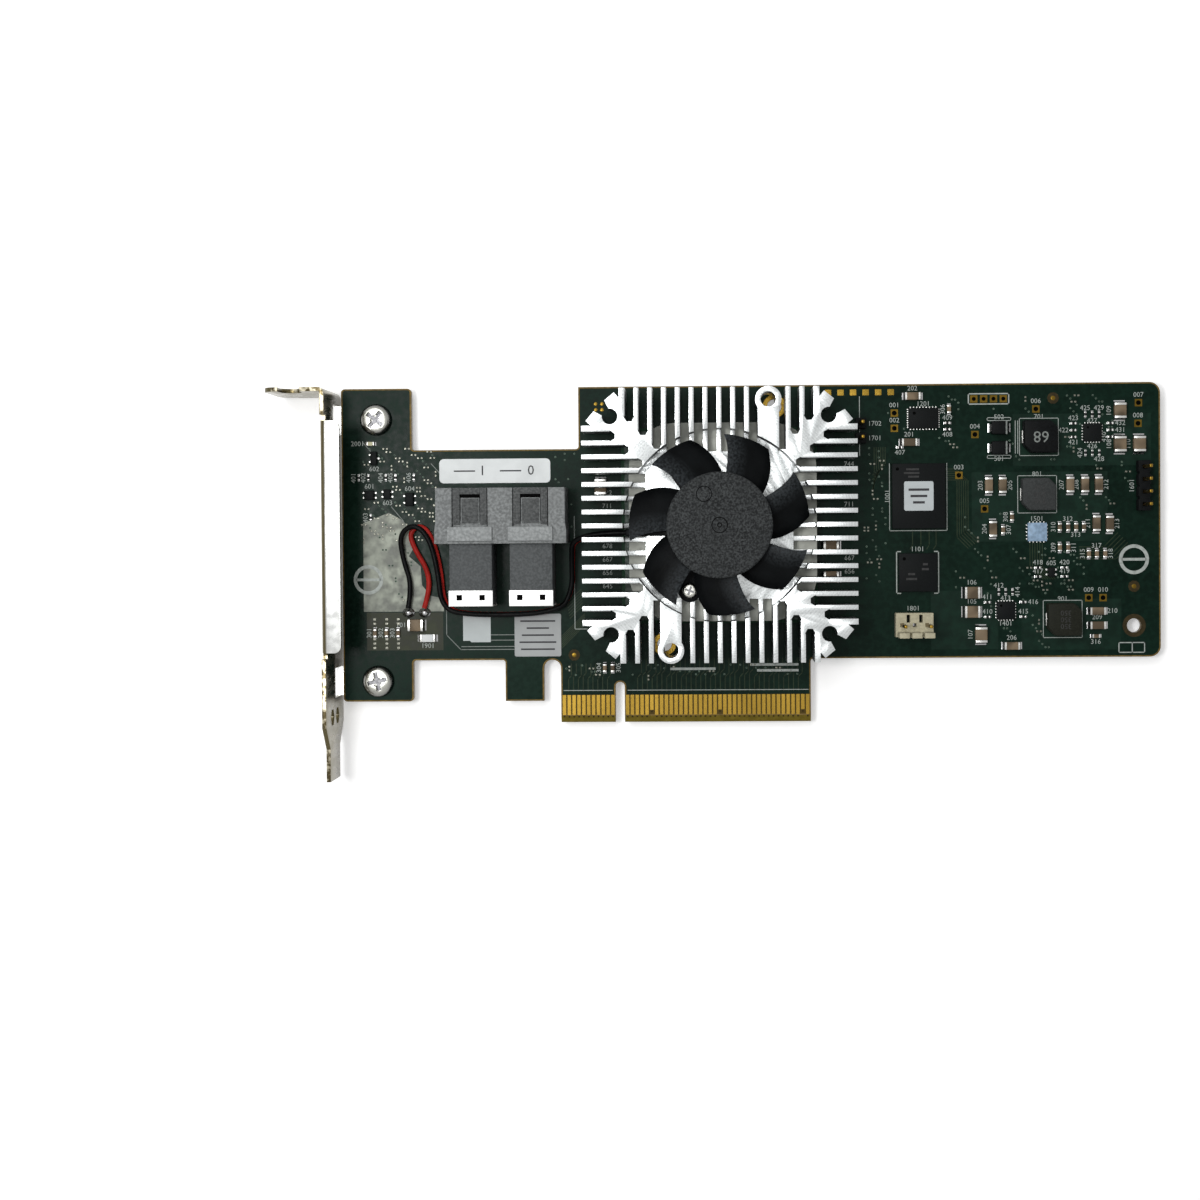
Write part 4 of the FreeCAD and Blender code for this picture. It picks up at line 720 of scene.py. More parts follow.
def spread_tree():
    """Copies a template to each point, turned and sized by the points' attributes."""
    if "spread" in STATE:
        return STATE["spread"]
    tree = bpy.data.node_groups.new("spread_template", "GeometryNodeTree")
    sockets = [tree.interface.new_socket(name=name, in_out="INPUT", socket_type=f"NodeSocket{kind}")
               for name, kind in (("Places", "Geometry"), ("Template", "Object"), ("Finish", "Material"),
                                  ("Scale", "Float"))]
    sockets[-1].default_value = 1.0
    tree.interface.new_socket(name="Pieces", in_out="OUTPUT", socket_type="NodeSocketGeometry")
    make, link = tree.nodes.new, tree.links.new
    start, end = make("NodeGroupInput"), make("NodeGroupOutput")
    source = make("GeometryNodeObjectInfo")
    link(start.outputs["Template"], source.inputs["Object"])
    size, turn = make("GeometryNodeInputNamedAttribute"), make("GeometryNodeInputNamedAttribute")
    for node, name in ((size, "size"), (turn, "turn")):
        node.data_type = "FLOAT_VECTOR"
        node.inputs["Name"].default_value = name
    rotation = make("FunctionNodeEulerToRotation")
    link(turn.outputs["Attribute"], rotation.inputs[0])
    sized = make("ShaderNodeVectorMath")
    sized.operation = "SCALE"
    link(size.outputs["Attribute"], sized.inputs[0])
    link(start.outputs["Scale"], sized.inputs["Scale"])
    copies = make("GeometryNodeInstanceOnPoints")
    link(start.outputs["Places"], copies.inputs["Points"])
    link(source.outputs["Geometry"], copies.inputs["Instance"])
    link(rotation.outputs[0], copies.inputs["Rotation"])
    link(sized.outputs["Vector"], copies.inputs["Scale"])
    real, painted = make("GeometryNodeRealizeInstances"), make("GeometryNodeSetMaterial")
    link(copies.outputs["Instances"], real.inputs["Geometry"])
    link(real.outputs["Geometry"], painted.inputs["Geometry"])
    link(start.outputs["Finish"], painted.inputs["Material"])
    link(painted.outputs["Geometry"], end.inputs["Pieces"])
    STATE["spread"] = tree, *(socket.identifier for socket in sockets[1:])
    return STATE["spread"]


def spread(name, template, places, finish, smooth=32):
    """A plain mesh of the template at every place: x, y, z, turn in degrees, and a size for each axis."""
    tree, template_socket, finish_socket, scale_socket = spread_tree()
    data = bpy.data.meshes.new(name + "_places")
    data.from_pydata([Vector(place[:3]) * MM for place in places], [], [])
    for label, vectors in (("size", [place[4] for place in places]),
                           ("turn", [(0, 0, radians(place[3])) for place in places])):
        layer = data.attributes.new(label, "FLOAT_VECTOR", "POINT")
        layer.data.foreach_set("vector", [number for vector in vectors for number in vector])
    holder = bpy.data.objects.new(name + "_places", data)
    for item in (holder, template):
        bpy.context.scene.collection.objects.link(item)
    spreading = holder.modifiers.new("spread", "NODES")
    spreading.node_group = tree
    spreading[template_socket] = template
    spreading[finish_socket] = finish
    spreading[scale_socket] = MM
    made = evaluated(holder)
    holder.modifiers.remove(spreading)
    bpy.data.objects.remove(holder)
    bpy.context.scene.collection.objects.unlink(template)
    if not made.polygons:
        raise RuntimeError(f"{name} came out empty")
    for layer in ("size", "turn"):
        if layer in made.attributes:
            made.attributes.remove(made.attributes[layer])
    return data_piece(name, made, [finish], smooth)


def evaluated(item):
    """An object's mesh as its modifiers leave it."""
    bpy.context.view_layer.update()
    graph = bpy.context.evaluated_depsgraph_get()
    return bpy.data.meshes.new_from_object(item.evaluated_get(graph))


def unit_form(name, build):
    """A template of unit size, kept out of the scene until it is spread."""
    if name not in STATE:
        shape = Shape()
        build(shape)
        STATE[name] = bpy.data.objects.new(name, shape.data(name))
    return STATE[name]


def brick():
    return unit_form("brick", lambda form: form.block((-0.5, -0.5, 0), (0.5, 0.5, 1), edge=0.05, rounds=1))


def end_cap():
    return unit_form("end_cap", lambda form: form.block((-0.5, -0.5, 0), (0.5, 0.5, 1), edge=0.12))


def fillet():
    """A wedge of solder that climbs towards -x."""
    slope = [(0, 1.0), (0.12, 0.62), (0.34, 0.32), (0.65, 0.12), (1.0, 0.03), (1.0, 0), (0, 0)]

    def build(form):
        left, right = ([form.mesh.verts.new((x, y, z)) for x, z in slope] for y in (-0.5, 0.5))
        faces = [form.mesh.faces.new(left), form.mesh.faces.new(right[::-1])]
        for i in range(len(slope)):
            j = (i + 1) % len(slope)
            faces.append(form.mesh.faces.new((left[i], right[i], right[j], left[j])))
        bmesh.ops.recalc_face_normals(form.mesh, faces=faces)
    return unit_form("fillet", build)


def dot():
    """A flat disc with a chamfer."""
    profile = [(0, 1), (0.42, 1), (0.5, 0.6), (0.5, 0), (0, 0)]
    return unit_form("dot", lambda form: form.turned(profile, (0, 0), 10))


def mound():
    """A cone of solder with a rounded foot."""
    profile = [(0, 1), (0.2, 0.96), (0.27, 0.7), (0.34, 0.4), (0.42, 0.16), (0.5, 0.04), (0.5, 0), (0, 0)]
    return unit_form("mound", lambda form: form.turned(profile, (0, 0), 18))


def hanging_mound():
    """A cone of solder that points down, with its foot at the top."""
    profile = [(0, 0), (0.22, 0.03), (0.28, 0.35), (0.36, 0.7), (0.5, 0.96), (0.5, 1), (0, 1)]
    return unit_form("hanging_mound", lambda form: form.turned(profile, (0, 0), 16))


def square_ring():
    """A plated square with an eight-sided hole."""
    hole, half, flat, sides = 0.27, 0.5, 0.2, 8
    inner = [(hole * cos(pi / 4 * k + pi / 8), hole * sin(pi / 4 * k + pi / 8)) for k in range(sides)]
    outer = [(half, flat), (half, half), (flat, half), (-flat, half), (-half, half), (-half, flat),
             (-half, -flat), (-half, -half), (-flat, -half), (flat, -half), (half, -half), (half, -flat)]
    # Every other side of the hole looks at a corner of the square and takes two stretches of its rim
    starts = [k + (k + 1) // 2 for k in range(sides)] + [len(outer)]

    def build(form):
        make, join, faces = form.mesh.verts.new, form.mesh.faces.new, []
        rings, rims = ([[make((x, y, z)) for x, y in loop] for z in (0, 1)] for loop in (inner, outer))
        for ring, rim in zip(rings, rims):
            for k in range(sides):
                stretch = [rim[i % len(rim)] for i in range(starts[k], starts[k + 1] + 1)]
                faces.append(join((ring[k], ring[(k + 1) % sides], *stretch[::-1])))
        for low, high in (rings, rims):
            for k in range(len(low)):
                n = (k + 1) % len(low)
                faces.append(join((low[k], low[n], high[n], high[k])))
        bmesh.ops.recalc_face_normals(form.mesh, faces=faces)
    return unit_form("square_ring", build)


def cross_plate():
    """A plate on the floor of a cross recess, to the scale of the screw's head, which carries the recess's
    painted shade.
    """
    long, thin = 0.60, 0.13
    corners = [(thin, -long), (thin, -thin), (long, -thin), (long, thin), (thin, thin), (thin, long),
               (-thin, long), (-thin, thin), (-long, thin), (-long, -thin), (-thin, -thin), (-thin, -long)]
    return unit_form("cross_plate", lambda form: form.outline(corners, 0, 1))


def cross_screw():
    """A pan head of unit radius and height with a cross recess."""
    if "cross_screw" in STATE:
        return STATE["cross_screw"]
    profile = [(0, 0), (0.98, 0), (1.0, 0.10), (1.0, 0.34), (0.96, 0.55), (0.88, 0.78), (0.80, 0.92),
               (0.70, 0.985), (0.45, 1.0), (0, 1.0)]
    slot_floor, pit_floor, over = 0.42, 0.30, 1.4
    long, thin, pit = 0.62, 0.15, 0.24
    bars = Shape()
    for wide, deep in ((thin, long), (long, thin)):
        bars.outline(rectangle(-wide, -deep, wide, deep), slot_floor, over)
    bars.block((-pit, -pit, pit_floor), (pit, pit, over))
    head = bpy.data.objects.new("cross_screw", Shape().turned(profile, (0, 0), 40).data("cross_screw"))
    cutter = bpy.data.objects.new("cross_bars", bars.data("cross_bars"))
    for item in (head, cutter):
        bpy.context.scene.collection.objects.link(item)
    carve = head.modifiers.new("recess", "BOOLEAN")
    carve.operation, carve.solver, carve.use_self = "DIFFERENCE", "EXACT", True
    carve.object = cutter
    made = evaluated(head)
    for item in (head, cutter):
        bpy.data.objects.remove(item)
    STATE["cross_screw"] = bpy.data.objects.new("cross_screw_form", made)
    return STATE["cross_screw"]


# Print and other marks

# A digit's height as a share of its font's size
DIGIT_SHARE = 0.7
# Print on a label or a chip stands this far over it, in millimetres
LABEL_PRINT = 0.012
# Points of a digit's outline that are nearer than this, in metres, are one point
DIGIT_WELD = 1e-7


def digits(text, x, y, height, turn):
    """Outlines of plain digits as a flat mesh, centred on a place."""
    curve = bpy.data.curves.new("digits", "FONT")
    curve.body, curve.size = text, height / DIGIT_SHARE * MM
    curve.align_x, curve.align_y = "CENTER", "CENTER"
    curve.resolution_u = 2
    holder = bpy.data.objects.new("digits", curve)
    bpy.context.scene.collection.objects.link(holder)
    data = evaluated(holder)
    bpy.data.objects.remove(holder)
    bpy.data.curves.remove(curve)
    data.transform(Matrix.Translation((x * MM, y * MM, 0)) @ Matrix.Rotation(radians(turn), 4, "Z"))
    return data


def printed_digits(name, marks, height, finish, slot, rise=LABEL_PRINT):
    """One flat piece of many numbers: text, place, size and turn of each."""
    grid = bmesh.new()
    for mark in marks:
        data = digits(*mark)
        grid.from_mesh(data)
        bpy.data.meshes.remove(data)
    bmesh.ops.remove_doubles(grid, verts=grid.verts, dist=DIGIT_WELD)
    for face in grid.faces:
        face.normal_update()
        if face.normal.z < 0:
            face.normal_flip()
    bmesh.ops.translate(grid, vec=(0, 0, (height + rise) * MM), verts=grid.verts)
    return settle(mesh_piece(name, grid, [finish], 0), slot)


class Ground:
    """Keeps track of the parts of the board's face that are still bare."""

    COVERED = ("heat_sink", "port_shroud", "port_body_0", "port_body_1", "port_label", "board_label",
               "bracket_screws", "memory_chip", "flash_chip", "clock_chip", "power_chip_1", "power_chip_2",
               "power_stage", "small_chips", "small_chip_leads", "inductor_1", "inductor_2", "inductor_3",
               "inductor_terminals", "tantalum_capacitors", "bulk_capacitors", "filter_capacitors",
               "bypass_capacitors", "chip_resistors", "fuse", "status_light", "service_header",
               "jumper_header", "fan_header", "wire_joints", "edge_contacts")

    def __init__(self):
        grid = merged("circuit_board")
        self.board = BVHTree.FromBMesh(grid)
        grid.free()
        self.taken = [(low.x, low.y, high.x, high.y) for node in self.COVERED for low, high in islands(node)]

    def force(self, x, y, wide, tall):
        """Takes a patch of the board, whatever is there."""
        self.taken.append((x - wide / 2, y - tall / 2, x + wide / 2, y + tall / 2))

    def claim(self, x, y, wide, tall):
        """Takes a patch of the board if it is bare, and says whether it was."""
        left, low, right, high = x - wide / 2, y - tall / 2, x + wide / 2, y + tall / 2
        if any(a < right and c > left and b < high and d > low for a, b, c, d in self.taken):
            return False
        for corner in rectangle(left, low, right, high):
            if self.board.ray_cast(Vector((*corner, TOP + 1)) * MM, Vector((0, 0, -1)))[0] is None:
                return False
        self.force(x, y, wide, tall)
        return True


def ground():
    if "ground" not in STATE:
        STATE["ground"] = Ground()
    return STATE["ground"]


# Free pads and vias lie on a grid, in millimetres, and are set out by two steps and the zone's number
GRID = 0.65
STEP_ACROSS, STEP_ALONG = 0.61803, 0.75488
ZONE_ACROSS, ZONE_ALONG = 0.137, 0.311


def scattered(zone, count, number):
    """Places on the grid in a zone (left, low, right, high), spread evenly by a fixed rule."""
    left, low, right, high = zone
    for step in range(count):
        across = (step * STEP_ACROSS + number * ZONE_ACROSS) % 1
        along = (step * STEP_ALONG + number * ZONE_ALONG) % 1
        x, y = left + across * (right - left), low + along * (high - low)
        yield round(x / GRID) * GRID, round(y / GRID) * GRID


class CardOperator:
    """What the operators share."""
    bl_options = {"REGISTER", "UNDO"}

    def execute(self, context):
        self.build(palette(), context.scene.card_sizes)
        return {"FINISHED"}


class CARD_OT_board(CardOperator, bpy.types.Operator):
    """Finish the board, its rim, gold contacts, copper areas and traces"""
    bl_idname = "card.board"
    bl_label = "Board"

    # Copper that shows through the mask, left, low, right and high
    POURS = [(63.8, 14.6, 77.5, 26.6), (82.2, 14.4, 102.5, 24.8), (80.6, 52.0, 108.6, 62.6),
             (72.2, 36.6, 99.8, 50.8)]
    OLIVE_POUR = (-52.2, 15.0, -36.4, 22.8)
    # The pale area is copper under the mask with a painted sheen
    PALE_POUR = [(-52.8, 23.0), (-36.2, 23.0), (-36.4, 25.7), (-38.9, 26.2), (-40.7, 28.4), (-41.0, 32.3),
                 (-43.4, 34.4), (-42.1, 36.6), (-43.0, 39.7), (-44.6, 41.8), (-47.5, 43.4), (-50.7, 42.1),
                 (-52.8, 41.3)]
    POUR_TOP, TRACE_TOP = TOP + 0.012, TOP + 0.016
    TRACE_WIDTH, BRIGHT_WIDTH = 0.17, 0.16
    RIM_WIDTH, RIM_RISE = 0.3, 0.008
    # The cut end of each contact's plating tie
    TIE_SIZE, TIE_GAP, TIE_SINK = (0.34, 0.3, 0.02), 0.35, 0.01

    def build(self, p, sizes):
        coat("circuit_board", p.mask)
        coat("edge_contacts", p.gold)
        upper = [(low, high) for low, high in islands("edge_contacts") if high.z > 0]
        ties = [((low.x + high.x) / 2, low.y - self.TIE_GAP, TOP - self.TIE_SINK, 0, self.TIE_SIZE)
                for low, high in upper]
        settle(spread("contact_end_marks", brick(), ties, p.tie_mark), "board")
        self.rim(p)
        pours = Shape()
        for area in self.POURS:
            pours.outline(rectangle(*area), TOP, self.POUR_TOP)
        settle(pours.piece("copper_areas", [p.copper_area], 0), "board")
        pale = Shape().outline(self.PALE_POUR, TOP, self.POUR_TOP)
        settle(pale.piece("grey_copper_area", [p.painted_sheen_area], 0), "board")
        olive = Shape().outline(rectangle(*self.OLIVE_POUR), TOP, self.POUR_TOP)
        settle(olive.piece("olive_copper_area", [p.olive_area], 0), "board")
        # The bright traces take the pale ink as a painted highlight where they catch the light
        kinds = (("board_traces", self.routes(), self.TRACE_WIDTH, p.trace),
                 ("bright_traces", self.bright_routes(), self.BRIGHT_WIDTH, p.dim_ink))
        for name, routes, width, finish in kinds:
            traces = Shape()
            for route in routes:
                traces.line(route, width, TOP, self.TRACE_TOP)
            settle(traces.piece(name, [finish], 0), "board")

    def rim(self, p):
        """The strip of laminate along the board's outline, where the mask stops short of the cut."""
        grid = merged("circuit_board")
        top = [face for face in grid.faces
               if face.normal.z > 0.99 and abs(face.calc_center_median().z / MM - TOP) < 0.01]
        strip = bmesh.ops.inset_region(grid, faces=top, thickness=self.RIM_WIDTH * MM, use_boundary=True,
                                       use_even_offset=True)["faces"]
        rest = list(set(grid.faces) - set(strip))
        bmesh.ops.delete(grid, geom=rest, context="FACES")
        bmesh.ops.translate(grid, vec=(0, 0, self.RIM_RISE * MM), verts=grid.verts)
        settle(mesh_piece("board_rim", grid, [p.rim], 0), "board")

    def routes(self):
        """Traces under the mask: bundles that run side by side with one bend or two."""
        contact_end = 6.3
        for step in range(34):
            x, bend = 3.6 + step, 9.2 + step % 3 * 0.4
            yield [(x, contact_end), (x, bend), (x + 0.8, bend + 0.8), (x + 0.8, 13.0)]
        for step in range(9):
            x, bend = -10.6 + step, 9.0 + step % 2 * 0.5
            yield [(x, contact_end), (x, bend), (x + 0.6, bend + 0.6), (x + 0.6, 12.0)]
        for step in range(7):
            shift = 0.55 * step
            y = 14.6 - shift * 0.2
            yield [(-20.6, y), (-12.6 - shift, y), (-7.2, 20.0 + shift * 0.7)]
            yield [(-7.6 - shift * 0.1, 24.0 + shift), (-10.2 - shift * 0.2, 21.4 + shift)]
        for x in (60.1, 61.8, 63.5, 64.9):
            yield [(x, 39.2), (x, 36.0), (x - 0.5, 35.2)]
        for step in range(6):
            near, far = 0.45 * step, 0.5 * step
            x, y, end = 69.2 + near, 51.5 - near, 37.5 + 0.3 * step
            yield [(67.0, y), (x, y), (x, end), (x + 2.2, end - 2.2)]
            yield [(54.6 - near, 56.0), (54.6 - near, 52.5 - near), (52.0, 50.4 - 2 * near)]
            yield [(84.0 + far, 36.2), (84.0 + far, 31.5), (86.6 + far, 28.9)]
            yield [(94.0, 35.4 - far), (99.0 + far, 35.4 - far), (101.8 + far, 38.2 - far)]

    def bright_routes(self):
        """Wider traces that catch the light below the ports and beside the small chips."""
        yield [(-35.7, 23.4), (-35.7, 18.1), (-32.8, 15.1), (-21.4, 15.1)]
        yield [(-30.4, 17.2), (-30.1, 17.0), (-21.5, 17.0)]
        yield [(-26.7, 18.1), (-21.5, 18.1)]
        yield [(-32.6, 15.7), (-21.5, 15.7)]
        yield [(-38.6, 53.4), (-36.9, 51.5)]
        yield [(-52.7, 57.9), (-50.8, 55.7)]
        yield [(-46.9, 44.6), (-44.4, 41.6)]


class CARD_OT_plated_holes(CardOperator, bpy.types.Operator):
    """Spread test points, empty header holes, free pads, vias, edge pads and alignment dots"""
    bl_idname = "card.plated_holes"
    bl_label = "Plated holes and pads"

    TEST_POINTS = [(56.5, 63.0), (56.5, 59.9), (69.6, 50.2), (72.9, 58.5), (74.8, 43.3), (85.3, 63.6),
                   (106.1, 64.7), (106.0, 60.5), (95.9, 25.0), (98.8, 25.0)]
    HEADER_HOLES = [(72.7 + 2 * step, 65.75) for step in range(4)]
    ALIGNMENT_DOTS = [(88.8, 65.8), (105.1, 27.3), (-9.4, 13.85)]
    EDGE_PADS = [(43.0 + 2.56 * step, 67.3) for step in range(6)]
    CORNER_DOTS = [(-4.6 + 1.3 * column, 64.2 + 1.2 * row) for column in range(2) for row in range(2)]
    COOLER_HOLES = [(32.0, 64.6), (9.2, 16.0)]
    FAR_HOLE = (105.1, 19.3)
    # Length, width and thickness of each kind
    PLATED_SQUARE, TEST_HOLE, HEADER_HOLE = (1.5, 1.5, 0.05), (1.12, 1.12, 0.06), (0.95, 0.95, 0.06)
    DOT_GROUND, ALIGNMENT_DOT, CORNER_DOT = (2.4, 2.4, 0.02), (0.95, 0.95, 0.04), (0.75, 0.75, 0.04)
    EDGE_PAD, VIA, VIA_HOLE = (1.3, 1.2, 0.04), (0.42, 0.42, 0.02), (0.18, 0.18, 0.03)
    # Inner and outer radius and thickness of the rings round the larger holes
    COOLER_RING, FAR_RING = (1.5, 2.35, 0.03), (1.45, 2.35, 0.02)
    # Room that each kind of fixed place takes on the board
    ROOM = ((TEST_POINTS, 1.8), (HEADER_HOLES, 2.0), (ALIGNMENT_DOTS, 2.6), (EDGE_PADS, 1.6),
            (CORNER_DOTS, 0.9), ([FAR_HOLE], 5.2))
    # Rows of larger pads at the bracket's end, and pairs of small pads, which lie sunk a little
    COLUMNS, COLUMN_ROWS, COLUMN_PAD = (-50.6, -48.1, -45.7), (21.4, 20.5, 17.3, 16.4, 15.5), (0.62, 0.5, 0.1)
    PAIR_REACH, PAIR_LONG, PAIR_WIDE = 0.38, 1.3, 0.5
    PAIR_PAD, TURNED_PAD, PAD_SINK = (0.4, 0.36, 0.1), (0.36, 0.4, 0.1), 0.01
    VIA_ROOM, VIA_SHIFT = 0.45, 5
    # Where small parts crowd together: left, low, right and high, free pairs of pads, vias
    ZONES = [((-52.5, 37.5, -37.0, 57.0), 110, 90), ((-50.5, 24.5, -42.0, 37.0), 2, 16),
             ((-13.5, 36.0, -9.0, 55.5), 2, 14), ((83.5, 26.5, 95.0, 35.0), 24, 44),
             ((91.5, 55.0, 102.5, 66.5), 26, 40), ((55.0, 55.5, 70.0, 66.5), 14, 26),
             ((50.6, 28.5, 54.6, 56.0), 12, 30), ((75.5, 14.5, 88.0, 28.0), 18, 34),
             ((-11.5, 9.3, -1.5, 12.4), 6, 12), ((2.5, 9.2, 38.0, 12.2), 5, 26),
             ((93.0, 38.0, 104.0, 53.0), 12, 18), ((68.0, 26.5, 83.0, 42.0), 6, 22),
             ((76.0, 52.5, 90.0, 66.0), 6, 14)]

    def build(self, p, sizes):
        self.lay("test_points", square_ring(), p.dull_gold, "gold",
                 (self.TEST_POINTS, self.PLATED_SQUARE), (self.HEADER_HOLES, self.PLATED_SQUARE))
        self.lay("plated_hole_shadows", dot(), p.dark, "board",
                 (self.TEST_POINTS, self.TEST_HOLE), (self.HEADER_HOLES, self.HEADER_HOLE))
        self.lay("alignment_grounds", dot(), p.bare_ring, "board", (self.ALIGNMENT_DOTS, self.DOT_GROUND))
        self.lay("alignment_dots", dot(), p.dull_gold, "gold",
                 (self.ALIGNMENT_DOTS, self.ALIGNMENT_DOT), (self.CORNER_DOTS, self.CORNER_DOT))
        self.lay("edge_pads", brick(), p.gold, "gold", (self.EDGE_PADS, self.EDGE_PAD))
        self.circle("cooler_hole_rings", self.COOLER_HOLES, self.COOLER_RING, p.gold, "gold")
        self.circle("far_hole_ring", [self.FAR_HOLE], self.FAR_RING, p.bare_ring, "board")
        self.free_pads(p)

    def lay(self, name, form, finish, slot, *groups):
        """Spreads a form on the board at each group's places, in that group's size."""
        places = [(x, y, TOP, 0, size) for group, size in groups for x, y in group]
        settle(spread(name, form, places, finish), slot)

    def circle(self, name, places, sizes, finish, slot):
        """Flat rings round holes in the board."""
        inner, outer, rise = sizes
        rings = Shape()
        for place in places:
            rings.ring(place, inner, outer, TOP, TOP + rise, 40)
        settle(rings.piece(name, [finish]), slot)

    def free_pads(self, p):
        """Pairs of tinned pads for parts that are not fitted, and vias, wherever the board is bare."""
        bare, height, vias = ground(), TOP - self.PAD_SINK, []
        pads = [(x, y, height, 0, self.COLUMN_PAD) for x in self.COLUMNS for y in self.COLUMN_ROWS]
        for number, (zone, pair_count, via_count) in enumerate(self.ZONES):
            for step, (x, y) in enumerate(scattered(zone, pair_count, number)):
                turned = step % 3 == 0
                room = (self.PAIR_WIDE, self.PAIR_LONG) if turned else (self.PAIR_LONG, self.PAIR_WIDE)
                if bare.claim(x, y, *room):
                    for way in (-self.PAIR_REACH, self.PAIR_REACH):
                        at = (x, y + way) if turned else (x + way, y)
                        pads.append((*at, height, 0, self.TURNED_PAD if turned else self.PAIR_PAD))
            vias += [place for place in scattered(zone, via_count, number + self.VIA_SHIFT)
                     if bare.claim(*place, self.VIA_ROOM, self.VIA_ROOM)]
        settle(spread("empty_pads", end_cap(), pads, p.pad_tin), "tin")
        self.lay("vias", dot(), p.via, "board", (vias, self.VIA))
        # Dark discs paint the shade inside each via's hole
        self.lay("via_holes", dot(), p.dark, "board", (vias, self.VIA_HOLE))


class CARD_OT_print(CardOperator, bpy.types.Operator):
    """Print the plain numbers, outlines and rings on the board"""
    bl_idname = "card.print"
    bl_label = "Print on the board"

    NUMBERED = ("bulk_capacitors", "filter_capacitors", "bypass_capacitors", "chip_resistors",
                "tantalum_capacitors", "small_chips", "inductor_1", "inductor_2", "inductor_3", "memory_chip",
                "flash_chip", "clock_chip", "power_chip_1", "power_chip_2", "power_stage", "service_header",
                "jumper_header", "fan_header", "fuse", "status_light")
    RING_MARKS, RING_ROOM = [(105.1, 32.8), (-51.8, 29.6)], 6.4
    RING_INNER, RING_OUTER, RING_BAR, RING_BAR_WIDTH = 2.35, 3.05, 4.4, 0.55
    DIGIT_HEIGHT, DIGIT_PITCH, DIGIT_GAP, DIGIT_RISE = 0.98, 0.79, 0.32, 0.03
    TEST_POINT_REACH = 0.8
    # Numbers below the fins: X, and slots counted from the fan's axis
    SLOT_PITCH = 2.745
    SLOT_NUMBERS = ((-2.4, (-5, -4, -3, -2, 1, 2)), (47.2, (-4, -3, 1, 4)))
    INDUCTOR_GAP, MEMORY_GAP, FLASH_GAP, FLASH_HOOK, FLASH_LINE = 0.5, 0.4, 0.35, 0.8, 0.22
    CONTACT_LINES, CONTACT_GAP = ((-11.6, -1.6), (1.6, 38.6)), 0.95
    # Boxes (left, low, right and high) and lines of the common width
    BOXES = ((75.4, 61.3, 80.2, 61.9), (75.4, 53.6, 80.2, 54.2))
    LINES = ([(81.1, 54.6), (81.1, 61.2)], [(81.6, 54.6), (81.6, 61.2)],
             [(-9.2, 42.4), (-9.2, 19.2), (-6.6, 19.2)], [(49.4, 66.4), (49.4, 54.4)])
    # Boxes and lines with a width of their own, which comes last
    WIDE_BOXES = ((71.6, 64.7, 79.8, 66.8, 0.24), (102.0, 13.8, 107.2, 15.8, 0.2))
    WIDE_LINES = (([(104.7, 13.8), (104.7, 15.8)], 0.2), ([(10.6, 10.9), (19.4, 10.9)], 0.5),
                  ([(27.0, 11.7), (36.4, 11.7)], 0.5), ([(28.4, 10.5), (36.4, 10.5)], 0.5))
    BLOCK = [(-32.3, 16.9), (-30.9, 16.9), (-30.6, 16.6), (-26.6, 16.6), (-26.6, 22.3), (-32.3, 22.3)]

    def build(self, p, sizes):
        bare = ground()
        for places, room in CARD_OT_plated_holes.ROOM + ((self.RING_MARKS, self.RING_ROOM),):
            for place in places:
                bare.force(*place, room, room)
        self.outlines(p, sizes.ink_line / MM, TOP, TOP + sizes.ink_rise / MM)
        marks = list(self.numbers(bare)) + list(self.numbers_below_fins())
        printed_digits("part_numbers", marks, TOP, p.ink, "label", self.DIGIT_RISE)

    def numbers_below_fins(self):
        """Numbers on the board that show in the slots at the heat sink's two sides."""
        for x, slots in self.SLOT_NUMBERS:
            for slot in slots:
                y = AXIS[1] + (slot + 0.5) * self.SLOT_PITCH
                yield f"{700 + 11 * slot}", x, y, self.DIGIT_HEIGHT, 0

    def numbers(self, bare):
        """A running number for each part and test point, on the first of its sides that is bare."""
        reach = Vector((self.TEST_POINT_REACH, self.TEST_POINT_REACH, 0))
        points = [Vector((x, y, TOP)) for x, y in CARD_OT_plated_holes.TEST_POINTS]
        groups = [[(point - reach, point + reach) for point in points]]
        groups += [islands(node) for node in self.NUMBERED]
        for group, boxes in enumerate(groups):
            for index, ends in enumerate(boxes, 1):
                text = f"{group}{index:02d}"
                long, tall = self.DIGIT_PITCH * len(text), self.DIGIT_HEIGHT
                for x, y, turn in self.sides(*ends, long, tall):
                    if bare.claim(x, y, *((tall, long) if turn else (long, tall))):
                        yield text, x, y, tall, turn
                        break

    def sides(self, low, high, long, tall):
        """Places for a number round a part, and its turn there, the best ones first."""
        x, y = middle(low, high)
        level, ahead = tall / 2 + self.DIGIT_GAP, long / 2 + self.DIGIT_GAP
        beside = [(low.x - level, y, 90), (high.x + level, y, 90)]
        above = [(x, high.y + level, 0), (x, low.y - level, 0)]
        if high.y - low.y > high.x - low.x:
            return beside + above
        return above + [(low.x - ahead, y, 0), (high.x + ahead, y, 0)] + beside

